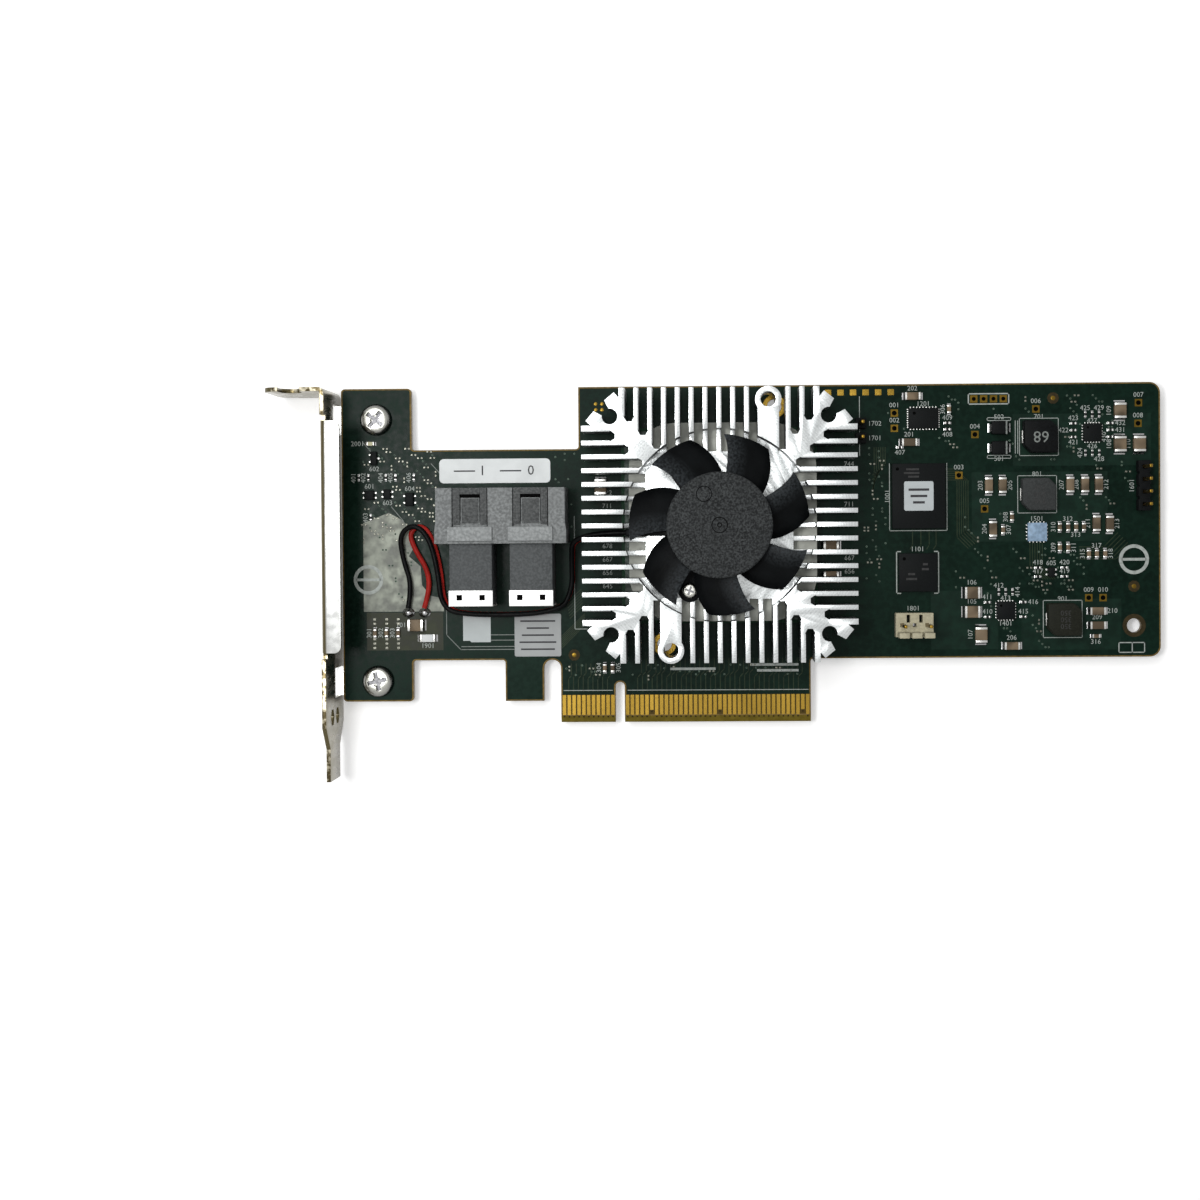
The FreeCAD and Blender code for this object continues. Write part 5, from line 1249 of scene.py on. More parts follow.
    def outlines(self, p, width, low, high):
        """Boxes, brackets and bars round the larger parts."""
        ink = Shape()
        for index in (1, 2, 3):
            near, far = box(f"inductor_{index}")
            gap = self.INDUCTOR_GAP
            ink.frame(near.x - gap, near.y - gap, far.x + gap, far.y + gap, width, low, high)
        near, far = box("memory_chip")
        left, base, right = near.x - self.MEMORY_GAP, near.y - self.MEMORY_GAP, far.x + self.MEMORY_GAP
        ink.line([(right, far.y), (right, base), (left, base), (left, far.y)], width, low, high)
        (near, far), gap, hook = box("flash_chip"), self.FLASH_GAP, self.FLASH_HOOK
        base, roof = near.y - gap, far.y + gap
        for x, tip in ((near.x - gap, near.x - gap + hook), (far.x + gap, far.x + gap - hook)):
            ink.line([(tip, roof), (x, roof), (x, base), (tip, base)], self.FLASH_LINE, low, high)
        over_contacts = box("edge_contacts")[1].y + self.CONTACT_GAP
        lines = [[(left, over_contacts), (right, over_contacts)] for left, right in self.CONTACT_LINES]
        for corners in self.BOXES:
            ink.frame(*corners, width, low, high)
        for points in (*lines, *self.LINES):
            ink.line(points, width, low, high)
        for *corners, own_width in self.WIDE_BOXES:
            ink.frame(*corners, own_width, low, high)
        for points, own_width in self.WIDE_LINES:
            ink.line(points, own_width, low, high)
        for x, y in self.RING_MARKS:
            ink.ring((x, y), self.RING_INNER, self.RING_OUTER, low, high, 48)
            half = self.RING_BAR / 2
            ink.line([(x - half, y), (x + half, y)], self.RING_BAR_WIDTH, low, high)
        settle(ink.piece("board_print", [p.ink], 0), "label")
        block = Shape().outline(self.BLOCK, low, high)
        settle(block.piece("print_block", [p.print_block], 0), "label")


class CARD_OT_bracket(CardOperator, bpy.types.Operator):
    """Round the folded bracket's edges and plate it"""
    bl_idname = "card.bracket"
    bl_label = "Bracket"

    # The lip folds over to the board's side of this X in metres; level faces beyond it are sheared edges
    FOLD_START = -0.0580

    def build(self, p, sizes):
        finishes = [p.steel, p.cut_sheet]
        dress("bracket", "bracket_sheet", finishes, sizes.sheet_edge, "zinc_steel", sort=self.sort)

    def sort(self, face):
        """The second finish for the sheared edges of the plate and the tab, the first for the rest."""
        level = abs(face.normal.z) > 0.9
        return 1 if level and face.calc_center_median().x < self.FOLD_START else 0


class CARD_OT_screws(CardOperator, bpy.types.Operator):
    """Spread cross-head screws on the bracket and the fan"""
    bl_idname = "card.screws"
    bl_label = "Screws"

    # Head's height, shank's diameter, and turn of the first screw's cross in degrees
    KINDS = (("bracket_screws", 2.1, 2.3, 12), ("fan_screws", 0.7, 1.4, 31))
    NEXT_TURN = 40
    SHANK_OVERLAP = 0.05
    # Height and thickness of the dark plate that paints the shade on the recess's floor, as shares of the
    # head's height
    FLOOR_LEVEL, FLOOR_RISE = 0.43, 0.02

    def build(self, p, sizes):
        for node, head, shank, turn in self.KINDS:
            heads, floors, shanks = [], [], []
            for index, (low, high) in enumerate(islands(node)):
                radius, (x, y), base = (high.x - low.x) / 2, middle(low, high), high.z - head
                angle = turn + self.NEXT_TURN * index
                heads.append((x, y, base, angle, (radius, radius, head)))
                level, rise = base + self.FLOOR_LEVEL * head, self.FLOOR_RISE * head
                floors.append((x, y, level, angle, (radius, radius, rise)))
                shanks.append((x, y, low.z, 0, (shank, shank, base - low.z + self.SHANK_OVERLAP)))
            kind = node.replace("screws", "screw")
            tops = spread(f"{kind}_heads", cross_screw(), heads, p.screw, 40)
            settle(tops, "screw_steel", stands_for=[node])
            settle(spread(f"{kind}_recesses", cross_plate(), floors, p.recess), "screw_steel")
            settle(spread(f"{kind}_shanks", dot(), shanks, p.screw), "screw_steel")


class CARD_OT_cooler(CardOperator, bpy.types.Operator):
    """Finish the controller and its finned heat sink"""
    bl_idname = "card.cooler"
    bl_label = "Controller and heat sink"

    # The soft pad as it is pressed out between the lid and the heat sink: left, low, right and high
    PRESSED_PAD = (AXIS[0] - 18.4, AXIS[1] - 19.5, AXIS[0] + 19.8, AXIS[1] + 20.9)
    PAD_CORNER, PAD_STEPS = 9.5, 8

    def build(self, p, sizes):
        coat("controller_substrate", p.substrate)
        coat("controller_lid", p.lid)
        low, high = box("thermal_pad")
        corners = rounded_rectangle(*self.PRESSED_PAD, self.PAD_CORNER, self.PAD_STEPS)
        pad = Shape().outline(corners, low.z, high.z)
        settle(pad.piece("pressed_thermal_pad", [p.pad], 0), "pad", stands_for=["thermal_pad"])
        dress("heat_sink", "finned_heat_sink", [p.aluminium], sizes.fin_edge, "sink_aluminium", angle=28)


class CARD_OT_fan(CardOperator, bpy.types.Operator):
    """Build the fan's hub and blades and finish its base and inner parts"""
    bl_idname = "card.fan"
    bl_label = "Fan"

    BLADES, FIRST_TURN = 7, -35.5
    HUB_ROOF, HUB_INNER, HUB_OUTER, HUB_SIDES = 1.9, 9.3, 10.6, 96
    # Steps across and along a blade, and the radius at which it starts and ends
    ACROSS, OUT, ROOT, TIP = 9, 7, 10.2, 18.08
    # Angles of a blade's low edge and raised edge in degrees: at the root, further on to the tip, and its bow
    LOW_EDGE, LOW_SWEEP, LOW_BOW = -33.0, 22.5, 1.2
    RAISED_EDGE, RAISED_SWEEP = 15.3, 4.2
    # Rise from edge to edge at the root and what the tip adds, the share of crown, and the blade's thickness
    LIFT, TIP_LIFT, CROWN, THICKNESS, BLADE_BASE = 2.75, 1.05, 0.55, 0.55, 0.1
    # Rings on the hub, dark as painted shade in its grooves: place from the axis, inner and outer radius,
    # sides
    HUB_RINGS = ((0, 0, 1.45, 1.62, 36), (-3.05, 6.2, 1.43, 1.60, 36), (0, 0, 0.32, 0.5, 20))
    RING_SINK, RING_RISE = 0.01, 0.012

    def build(self, p, sizes):
        dress("fan_base", "fan_base_moulding", [p.fan], sizes.chip_edge, "black_plastic")
        for node, finish in (("fan_bearing", p.bronze), ("fan_stator", p.iron), ("fan_coils", p.copper),
                             ("fan_shaft", p.screw), ("fan_magnet", p.magnet)):
            coat(node, finish)
        low, high = (corner.z for corner in box("fan_rotor"))
        rotor = Shape()
        raised = rotor.mesh.verts.layers.float.new("raised")
        rotor.turned(self.hub_profile(low, high), AXIS, self.HUB_SIDES, 1)
        for index in range(self.BLADES):
            self.blade(rotor, raised, self.FIRST_TURN + index * 360 / self.BLADES, low + self.BLADE_BASE)
        moulding = rotor.piece("fan_rotor_moulding", [p.blade, p.hub], 42)
        settle(moulding, "black_plastic", "rotor", ["fan_rotor"])
        marks = Shape()
        for x, y, inner, outer, sides in self.HUB_RINGS:
            centre = AXIS[0] + x, AXIS[1] + y
            marks.ring(centre, inner, outer, high - self.RING_SINK, high + self.RING_RISE, sides)
        settle(marks.piece("hub_marks", [p.dark], 0), "black_plastic", "rotor")

    def hub_profile(self, low, high):
        """Radius and height along the hub's section, from under its roof round to its top."""
        roof, inner, outer = high - self.HUB_ROOF, self.HUB_INNER, self.HUB_OUTER
        skirt = [(0, roof), (inner, roof), (inner, low), (outer - 0.15, low), (outer, low + 0.15)]
        shoulder = [(outer, high - 0.45), (outer - 0.08, high - 0.2), (outer - 0.3, high - 0.04)]
        return skirt + shoulder + [(outer - 0.6, high), (0, high)]

    def blade(self, rotor, raised, turn, low):
        """A bowed blade between curved edges, from inside the hub's wall to the tip circle."""
        under, over = (self.blade_skin(rotor, raised, turn, low, thick) for thick in (0.0, self.THICKNESS))
        across, out, faces, make = self.ACROSS, self.OUT, [], rotor.mesh.faces.new
        for j in range(out):
            for i in range(across):
                faces.append(make((under[j][i], under[j][i + 1], under[j + 1][i + 1], under[j + 1][i])))
                faces.append(make((over[j][i], over[j + 1][i], over[j + 1][i + 1], over[j][i + 1])))
        rim = [(j, 0) for j in range(out + 1)] + [(out, i) for i in range(1, across + 1)]
        rim += [(j, across) for j in range(out - 1, -1, -1)] + [(0, i) for i in range(across - 1, 0, -1)]
        for (j, i), (n, k) in zip(rim, rim[1:] + rim[:1]):
            faces.append(make((under[j][i], under[n][k], over[n][k], over[j][i])))
        bmesh.ops.recalc_face_normals(rotor.mesh, faces=faces)

    def blade_skin(self, rotor, raised, turn, low, thick):
        """Rows of points on one side of a blade, each marked with how far it is towards the raised edge."""
        rows = []
        for j in range(self.OUT + 1):
            v = j / self.OUT
            radius = self.ROOT + (self.TIP - self.ROOT) * v
            first = self.LOW_EDGE + self.LOW_SWEEP * v - self.LOW_BOW * sin(pi * v)
            last = self.RAISED_EDGE + self.RAISED_SWEEP * v ** 3
            row = []
            for i in range(self.ACROSS + 1):
                u = i / self.ACROSS
                angle = radians(turn + first + (last - first) * u)
                rise = (self.LIFT + self.TIP_LIFT * v) * (u + self.CROWN * u * (1 - u))
                steps_in = min(u, 1 - u) * self.ACROSS
                thin = thick * (0.5 + 0.5 * min(1.0, steps_in))
                x, y = AXIS[0] + radius * cos(angle), AXIS[1] + radius * sin(angle)
                point = rotor.mesh.verts.new((x, y, low + rise + thin))
                point[raised] = u
                row.append(point)
            rows.append(row)
        return rows


class CARD_OT_wires(CardOperator, bpy.types.Operator):
    """Lay the two fan wires and their solder joints"""
    bl_idname = "card.wires"
    bl_label = "Fan wires"

    # Points of each route, with heights over the board
    BLACK = [
        (1.70, 38.93, 7.80), (-9.20, 38.95, 7.00), (-9.60, 33.20, 3.00), (-9.50, 27.60, 2.25),
        (-12.10, 22.50, 2.20), (-32.40, 22.20, 2.20), (-36.50, 24.30, 2.22), (-37.10, 31.20, 2.15),
        (-38.80, 38.20, 2.25), (-41.90, 41.10, 2.25), (-45.10, 39.00, 1.60), (-44.40, 33.60, 0.97),
        (-42.60, 28.40, 0.95), (-43.50, 23.70, 1.10)]
    RED = [
        (1.70, 38.93, 6.40), (-9.05, 38.95, 5.30), (-9.58, 33.00, 1.30), (-9.50, 27.60, 0.92),
        (-12.20, 22.50, 0.90), (-32.40, 22.18, 0.90), (-36.20, 24.40, 0.92), (-36.60, 31.40, 0.90),
        (-38.40, 38.40, 0.92), (-40.80, 41.00, 0.90), (-43.20, 39.20, 0.92), (-41.90, 35.60, 0.90),
        (-39.40, 31.60, 0.92), (-39.00, 27.40, 0.90), (-40.15, 23.70, 1.10)]
    # Lengths in metres
    BLACK_LENGTH, RED_LENGTH = 0.0878, 0.0866
    SOLDER_LONG, SOLDER_WIDE, SOLDER_OVER = 2.6, 2.1, 0.35

    def build(self, p, sizes):
        self.wire("black_fan_wire", self.BLACK, self.BLACK_LENGTH, sizes.wire, p.black_wire, "wire_black",
                  "fan_wire_black")
        self.wire("red_fan_wire", self.RED, self.RED_LENGTH, sizes.wire, p.red_wire, "wire_red",
                  "fan_wire_red")
        places = []
        for low, high in islands("wire_joints"):
            size = self.SOLDER_LONG, self.SOLDER_WIDE, high.z - low.z + self.SOLDER_OVER
            places.append((*middle(low, high), low.z, 0, size))
        settle(spread("wire_solder", mound(), places, p.solder, 60), "solder", stands_for=["wire_joints"])

    def wire(self, name, route, run, diameter, finish, slot, node):
        """A wire on one smooth spline through its route's control points."""
        points = [Vector((x, y, z + TOP)) * MM for x, y, z in route]
        curve = bpy.data.curves.new(name, "CURVE")
        curve.dimensions, curve.resolution_u = "3D", 10
        curve.bevel_depth, curve.bevel_resolution = diameter / 2, 5
        curve.use_fill_caps = True
        spline = curve.splines.new("NURBS")
        spline.points.add(len(points) - 1)
        for point, place in zip(spline.points, points):
            point.co = (*place, 1)
        spline.order_u = 3
        spline.use_endpoint_u = True
        curve.materials.append(finish)
        item = bpy.data.objects.new(name, curve)
        bpy.context.scene.collection.objects.link(item)
        settle(item, slot, stands_for=[node])
        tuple(points[0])


class CARD_OT_ports(CardOperator, bpy.types.Operator):
    """Finish the double shroud, its latches, the port bodies and their clips"""
    bl_idname = "card.ports"
    bl_label = "Ports"

    SHROUD_TOP = TOP + 10.0
    # Blocks on the shroud: left, low, right and high from a port's middle and the shroud's near edge, then
    # the lower and the upper face from the shroud's top
    BAR, BAR_EDGE = (-4.5, 0.55, 4.5, 3.4, 0.3, 0.56), 0.12
    LEDGES = ((-3.55, 3.9, -2.05, 11.2, -0.9, -0.42), (2.05, 3.9, 3.55, 11.2, -0.9, -0.42),
              (-2.05, 9.95, 2.05, 11.2, -0.9, -0.42))
    TONGUE, LEDGE_EDGE, TONGUE_EDGE = (-1.9, 3.9, 1.95, 9.3, -1.55, -0.66), 0.1, 0.2
    SHADOWS = ((-3.6, 3.5, -3.5, 11.2, -0.8, -0.38), (3.42, 3.5, 3.6, 11.2, -0.8, -0.38),
               (-2.05, 9.3, 1.95, 9.95, -1.2, -0.6))
    # Rounding of the clips, in metres
    CLIP_EDGE = 0.00006
    CLIP_HOLES, CLIP_HOLE_RISE, CLIP_HOLE = (-2.3, 2.3), 1.45, (1.12, 1.12, 0.06)
    # The wedge at each side of the shroud: how far in, how far out, and its two ends
    WEDGE_INSET, WEDGE_REACH, WEDGE_START, WEDGE_END = 0.25, 0.25, 2.4, 4.2
    WEDGE_BASE, WEDGE_DROP = 0.02, 0.1

    def build(self, p, sizes):
        dress("port_shroud", "port_shroud_moulding", [p.shroud], sizes.mould_edge, "shroud_plastic")
        low, high = box("port_shroud")
        bars, latches, holes = Shape(), Shape(), []
        for index in (0, 1):
            near, far = box(f"port_body_{index}")
            x = middle(near, far)[0]
            bars.block(*self.at(self.BAR, x, low.y), edge=self.BAR_EDGE)
            for ledge in self.LEDGES:
                latches.block(*self.at(ledge, x, low.y), edge=self.LEDGE_EDGE)
            latches.block(*self.at(self.TONGUE, x, low.y), finish=1, edge=self.TONGUE_EDGE)
            for shadow in self.SHADOWS:
                latches.block(*self.at(shadow, x, low.y), finish=2)
            dress(f"port_body_{index}", f"port_rear_body_{index}", [p.body], sizes.mould_edge, "body_plastic")
            dress(f"port_clip_{index}", f"port_rear_clip_{index}", [p.clip], self.CLIP_EDGE, "tin")
            coat(f"port_contacts_{index}", p.gold)
            for hole in self.CLIP_HOLES:
                holes.append((x + hole, near.y + self.CLIP_HOLE_RISE, far.z, 0, self.CLIP_HOLE))
        settle(bars.piece("shroud_bars", [p.shroud_bar]), "shroud_plastic")
        settle(spread("clip_hole_shadows", brick(), holes, p.dark), "body_plastic")
        settle(latches.piece("port_latches", [p.latch, p.shroud, p.dark]), "shroud_plastic")
        wedges = Shape()
        start, end = low.y + self.WEDGE_START, low.y + self.WEDGE_END
        for x, way in ((low.x + self.WEDGE_INSET, -1), (high.x - self.WEDGE_INSET, 1)):
            corners = [(x, start), (x + way * self.WEDGE_REACH, start), (x, end)]
            wedges.outline(corners, TOP + self.WEDGE_BASE, self.SHROUD_TOP - self.WEDGE_DROP)
        settle(wedges.piece("shroud_wedges", [p.shroud]), "shroud_plastic")

    def at(self, block, x, y):
        """The two corners of a block on the shroud, for a port's middle and the shroud's near edge."""
        left, base, right, rim, under, over = block
        return (x + left, y + base, self.SHROUD_TOP + under), (x + right, y + rim, self.SHROUD_TOP + over)


class CARD_OT_labels(CardOperator, bpy.types.Operator):
    """Lay the film and paper labels with plain marks"""
    bl_idname = "card.labels"
    bl_label = "Labels"

    PORT_CORNER, BOARD_CORNER, PAPER_CORNER, CORNER_STEPS, EDGE = 0.9, 0.35, 0.4, 4, 0.03
    # Each port's number on its label, from the left and from the right end, with a bar before it
    ONE_FROM_LEFT, NOUGHT_FROM_RIGHT, NUMBER_HEIGHT = 8.9, 4.0, 2.0
    BAR_FROM_LEFT, BAR_FROM_RIGHT, PORT_BAR = 5.2, 8.2, (4.4, 0.28)
    # Rows of bars: distance of the first from the top edge, pitch, height, and length of each
    BOARD_ROWS = (1.5, 1.45, 0.32, (7.2, 4.6, 6.6, 7.6, 7.0))
    PAPER_ROWS = (1.7, 1.3, 0.48, (4.2, 3.4, 2.4))

    def build(self, p, sizes):
        for node, finish, slot, radius in (("port_label", p.label, "label", self.PORT_CORNER),
                                           ("board_label", p.grey_label, "label", self.BOARD_CORNER),
                                           ("memory_paper", p.paper, "paper", self.PAPER_CORNER)):
            low, high = box(node)
            corners = rounded_rectangle(low.x, low.y, high.x, high.y, radius, self.CORNER_STEPS)
            sheet = Shape().outline(corners, low.z, high.z, edge=self.EDGE, rounds=1)
            settle(sheet.piece(f"{node}_sheet", [finish]), slot, stands_for=[node])
        low, high = box("port_label")
        y = middle(low, high)[1]
        numbers = [("1", low.x + self.ONE_FROM_LEFT, y, self.NUMBER_HEIGHT, 0),
                   ("0", high.x - self.NOUGHT_FROM_RIGHT, y, self.NUMBER_HEIGHT, 0)]
        printed_digits("port_numbers", numbers, high.z, p.label_ink, "label")
        bars = Shape()
        for x in (low.x + self.BAR_FROM_LEFT, high.x - self.BAR_FROM_RIGHT):
            bars.bar(x, y, self.PORT_BAR, high.z, LABEL_PRINT)
        for node, (first, pitch, tall, lengths) in (("board_label", self.BOARD_ROWS),
                                                    ("memory_paper", self.PAPER_ROWS)):
            low, high = box(node)
            x = middle(low, high)[0]
            for row, long in enumerate(lengths):
                bars.bar(x, high.y - first - row * pitch, (long, tall), high.z, LABEL_PRINT)
        settle(bars.piece("label_bars", [p.label_ink], 0), "label")


class CARD_OT_chips(CardOperator, bpy.types.Operator):
    """Finish the chips, their pads and leads, and the inductors"""
    bl_idname = "card.chips"
    bl_label = "Chips and inductors"

    BLACK_CHIPS = ("memory_chip", "flash_chip", "clock_chip", "power_chip_1", "power_chip_2")
    # The dimple at pin one: its largest size, its share of the chip's width, and its inset in sizes
    DIMPLE_SIZE, DIMPLE_SHARE, DIMPLE_INSET, DIMPLE_SINK, DIMPLE_RISE = 0.7, 0.14, 1.6, 0.004, 0.012
    # Rows of marks from a chip's low (0) or high (1) edge: first row, pitch, height, each mark's X and length
    MARKS = (("memory_chip", 1, -1.2, -0.75, 0.4, ((4.2, 2.6), (4.0, 3.2), (4.4, 2.2))),
             ("flash_chip", 0, 2.6, 1.0, 0.44, ((2.6, 2.2), (2.6, 1.4), (5.4, 1.4), (5.4, 1.0))))
    MARK_RISE = 0.01
    # Pads on each side of a chip, their size and how far past the chip they lie
    PAD_COUNTS = (("clock_chip", 9), ("power_chip_1", 6), ("power_chip_2", 6), ("power_stage", 5))
    PAD_WIDE, PAD_LONG, PAD_RISE, PAD_OUT = 0.24, 0.34, 0.12, 0.08
    # The first pad's inset and what the row leaves over, in pitches
    PAD_START, PAD_SPARE = 0.7, 0.4
    # Numbers on the inductors: height and, for the stamps, three rows
    BIG_NUMBER, BIG_HEIGHT = "68", 2.3
    STAMP, STAMP_HEIGHT, STAMP_PITCH, STAMP_SHIFT = "350", 1.05, 1.35, 0.15
    # Rounding of small edges, in metres
    SMALL_EDGE, LEAD_EDGE, COIL_EDGE, TERMINAL_EDGE = 0.00012, 0.00004, 0.00035, 0.00006

    def build(self, p, sizes):
        self.chips(p, sizes)
        self.pads(p)
        self.inductors(p)

    def chips(self, p, sizes):
        dimples, marks = [], Shape()
        for node in self.BLACK_CHIPS:
            dress(node, f"{node}_moulding", [p.chip], sizes.chip_edge, "chip_black")
            low, high = box(node)
            size = min(self.DIMPLE_SIZE, (high.x - low.x) * self.DIMPLE_SHARE)
            inset = self.DIMPLE_INSET * size
            dimples.append((low.x + inset, high.y - inset, high.z - self.DIMPLE_SINK, 0,
                            (size, size, self.DIMPLE_RISE)))
        # Dark discs paint the shade in each pin-one dimple
        settle(spread("chip_dimples", dot(), dimples, p.dark), "chip_black")
        for node, side, first, pitch, tall, rows in self.MARKS:
            ends = box(node)
            for row, (x, long) in enumerate(rows):
                y = ends[side].y + first + row * pitch
                marks.bar(ends[0].x + x, y, (long, tall), ends[1].z, self.MARK_RISE)
        settle(marks.piece("chip_marks", [p.chip_ink], 0), "chip_black")
        dress("power_stage", "power_stage_moulding", [p.chip_blue], sizes.chip_edge, "chip_blue")
        dress("small_chips", "small_chip_mouldings", [p.chip], self.SMALL_EDGE, "chip_black")
        dress("small_chip_leads", "small_chip_feet", [p.tin], self.LEAD_EDGE, "tin")

    def pads(self, p):
        """Tinned pads that show along the four sides of the flat chips."""
        wide, long, rise, out = self.PAD_WIDE, self.PAD_LONG, self.PAD_RISE, self.PAD_OUT
        upright, level, pads = (wide, long, rise), (long, wide, rise), []
        for node, count in self.PAD_COUNTS:
            low, high = box(node)
            for step in range(count):
                share = (step + self.PAD_START) / (count + self.PAD_SPARE)
                x, y = low.x + share * (high.x - low.x), low.y + share * (high.y - low.y)
                pads += [(x, side, TOP, 0, upright) for side in (low.y - out, high.y + out)]
                pads += [(side, y, TOP, 0, level) for side in (low.x - out, high.x + out)]
        settle(spread("chip_pads", brick(), pads, p.tin), "tin")

    def inductors(self, p):
        self.coil(1, p.coil_black, "coil_black")
        low, high = box("inductor_1")
        number = [(self.BIG_NUMBER, *middle(low, high), self.BIG_HEIGHT, 180)]
        printed_digits("inductor_number", number, high.z, p.dim_ink, "coil_black")
        self.coil(2, p.coil_grey, "coil_grey")
        self.coil(3, p.coil_olive, "coil_olive")
        for index in (2, 3):
            low, high = box(f"inductor_{index}")
            x, y = middle(low, high)
            rows = [(self.STAMP, x + self.STAMP_SHIFT, y + row * self.STAMP_PITCH, self.STAMP_HEIGHT, 180)
                    for row in (-1, 0, 1)]
            printed_digits(f"inductor_stamp_{index}", rows, high.z, p.chip_ink, "coil_grey")
        dress("inductor_terminals", "inductor_ends", [p.tin], self.TERMINAL_EDGE, "tin")

    def coil(self, index, finish, slot):
        node = f"inductor_{index}"
        dress(node, f"{node}_moulding", [finish], self.COIL_EDGE, slot, rounds=3)


class CARD_OT_chip_parts(CardOperator, bpy.types.Operator):
    """Spread capacitor and resistor bodies, their plated ends and solder"""
    bl_idname = "card.chip_parts"
    bl_label = "Chip capacitors and resistors"

    # How far a body stands off the board and stays below its ends, and its share of their width
    BODY_BASE, BODY_DROP, BODY_WIDTH, BODY_INSET = 0.02, 0.05, 0.97, 1.2
    # Solder at plated ends: longest, and a share of the part's run plus a little; width and height as shares
    SOLDER_SINK, SOLDER_LONG, SOLDER_RUN, SOLDER_MORE = 0.005, 0.5, 0.16, 0.1
    SOLDER_WIDTH, SOLDER_HEIGHT = 0.9, 0.55
    # A moulded capacitor's feet, which are narrower than it is
    FOOT_WIDTH, FOOT_INSET, FOOT_LONG, FOOT_HEIGHT = 0.62, 0.28, 0.62, 0.52
    FOOT_SOLDER_LONG, FOOT_SOLDER_HEIGHT = 0.55, 0.45
    # The band at a moulded capacitor's positive end
    BAND_PLACE, BAND_SINK, BAND_LONG, BAND_WIDTH, BAND_RISE = 0.36, 0.03, 0.32, 0.96, 0.02

    def build(self, p, sizes):
        ends, solder, bands = [], [], []
        # Node, piece, form, finish, slot and the length of a plated end, which a moulded part lacks
        groups = (
            ("bulk_capacitors", "bulk_capacitors_bodies", end_cap(), p.ceramic, "ceramic_brown", 0.55),
            ("filter_capacitors", "filter_capacitors_bodies", end_cap(), p.ceramic, "ceramic_brown", 0.45),
            ("bypass_capacitors", "bypass_capacitors_bodies", end_cap(), p.ceramic, "ceramic_brown", 0.32),
            ("chip_resistors", "chip_resistor_bodies", brick(), p.resistor, "resistor_black", 0.24),
            ("tantalum_capacitors", "tantalum_capacitors_bodies", end_cap(), p.coil_black, "tantalum", 0.0),
            ("fuse", "fuse_bodies", end_cap(), p.fuse, "fuse_white", 0.5),
            ("status_light", "status_light_bodies", brick(), p.lens, "light", 0.35))
        for node, name, form, finish, slot, cap in groups:
            bodies = []
            for low, high in islands(node):
                size, centre = high - low, (low + high) / 2
                turn = 0 if size.x >= size.y else 90
                run, wide = (size.x, size.y) if turn == 0 else (size.y, size.x)
                body = (run - cap * self.BODY_INSET, wide * self.BODY_WIDTH, size.z - self.BODY_DROP)
                bodies.append((centre.x, centre.y, low.z + self.BODY_BASE, turn, body))
                inset, end, joint = self.ends(cap, run, wide, size.z)
                for way in (1, -1):
                    ahead = Vector((cos(radians(turn)), sin(radians(turn)))) * way
                    tip = centre.xy + ahead * run / 2
                    facing = turn if way > 0 else turn + 180
                    ends.append((*(tip - ahead * inset), low.z, turn, end))
                    solder.append((*tip, low.z - self.SOLDER_SINK, facing, joint))
                if not cap:
                    bands.append((centre.x + run * self.BAND_PLACE, centre.y, high.z - self.BAND_SINK, turn,
                                  (self.BAND_LONG, wide * self.BAND_WIDTH, self.BAND_RISE)))
            settle(spread(name, form, bodies, finish), slot, stands_for=[node])
        settle(spread("chip_part_ends", end_cap(), ends, p.tin), "tin")
        settle(spread("chip_part_solder", fillet(), solder, p.solder), "solder")
        settle(spread("tantalum_bands", brick(), bands, p.dim_ink), "tantalum")

    def ends(self, cap, run, wide, tall):
        """Inset and size of a part's plated ends or feet, and the size of the solder in front of them."""
        if cap:
            long = min(self.SOLDER_LONG, self.SOLDER_RUN * run + self.SOLDER_MORE)
            return cap / 2, (cap, wide, tall), (long, wide * self.SOLDER_WIDTH, tall * self.SOLDER_HEIGHT)
        foot = wide * self.FOOT_WIDTH
        joint = self.FOOT_SOLDER_LONG, foot, self.FOOT_SOLDER_HEIGHT
        return self.FOOT_INSET, (self.FOOT_LONG, foot, tall * self.FOOT_HEIGHT), joint


class CARD_OT_headers(CardOperator, bpy.types.Operator):
    """Finish the pin headers and add solder under the board"""
    bl_idname = "card.headers"
    bl_label = "Headers"

    # Rounding of the mouldings and the pins, in metres
    SERVICE_EDGE, JUMPER_EDGE, FAN_EDGE, PIN_EDGE = 0.00012, 0.00015, 0.00016, 0.00011
    # Solder below the board: how far it hangs, its width and its height
    SOLDER_DROP, SOLDER_WIDE, SOLDER_TALL = 0.85, 1.7, 0.87

    def build(self, p, sizes):
        dress("service_header", "service_header_moulding", [p.black], self.SERVICE_EDGE, "black_plastic")
        dress("jumper_header", "jumper_header_moulding", [p.black], self.JUMPER_EDGE, "black_plastic")
        dress("fan_header", "fan_header_moulding", [p.ivory], self.FAN_EDGE, "ivory_plastic")
        size, mounds = (self.SOLDER_WIDE, self.SOLDER_WIDE, self.SOLDER_TALL), []
        for node in ("service_pins", "jumper_pins", "fan_header_pins"):
            dress(node, node.replace("pins", "plated_pins"), [p.gold], self.PIN_EDGE, "gold")
            mounds += [(*middle(*ends), UNDER - self.SOLDER_DROP, 0, size) for ends in islands(node)]
        settle(spread("pin_solder", hanging_mound(), mounds, p.solder, 60), "solder")


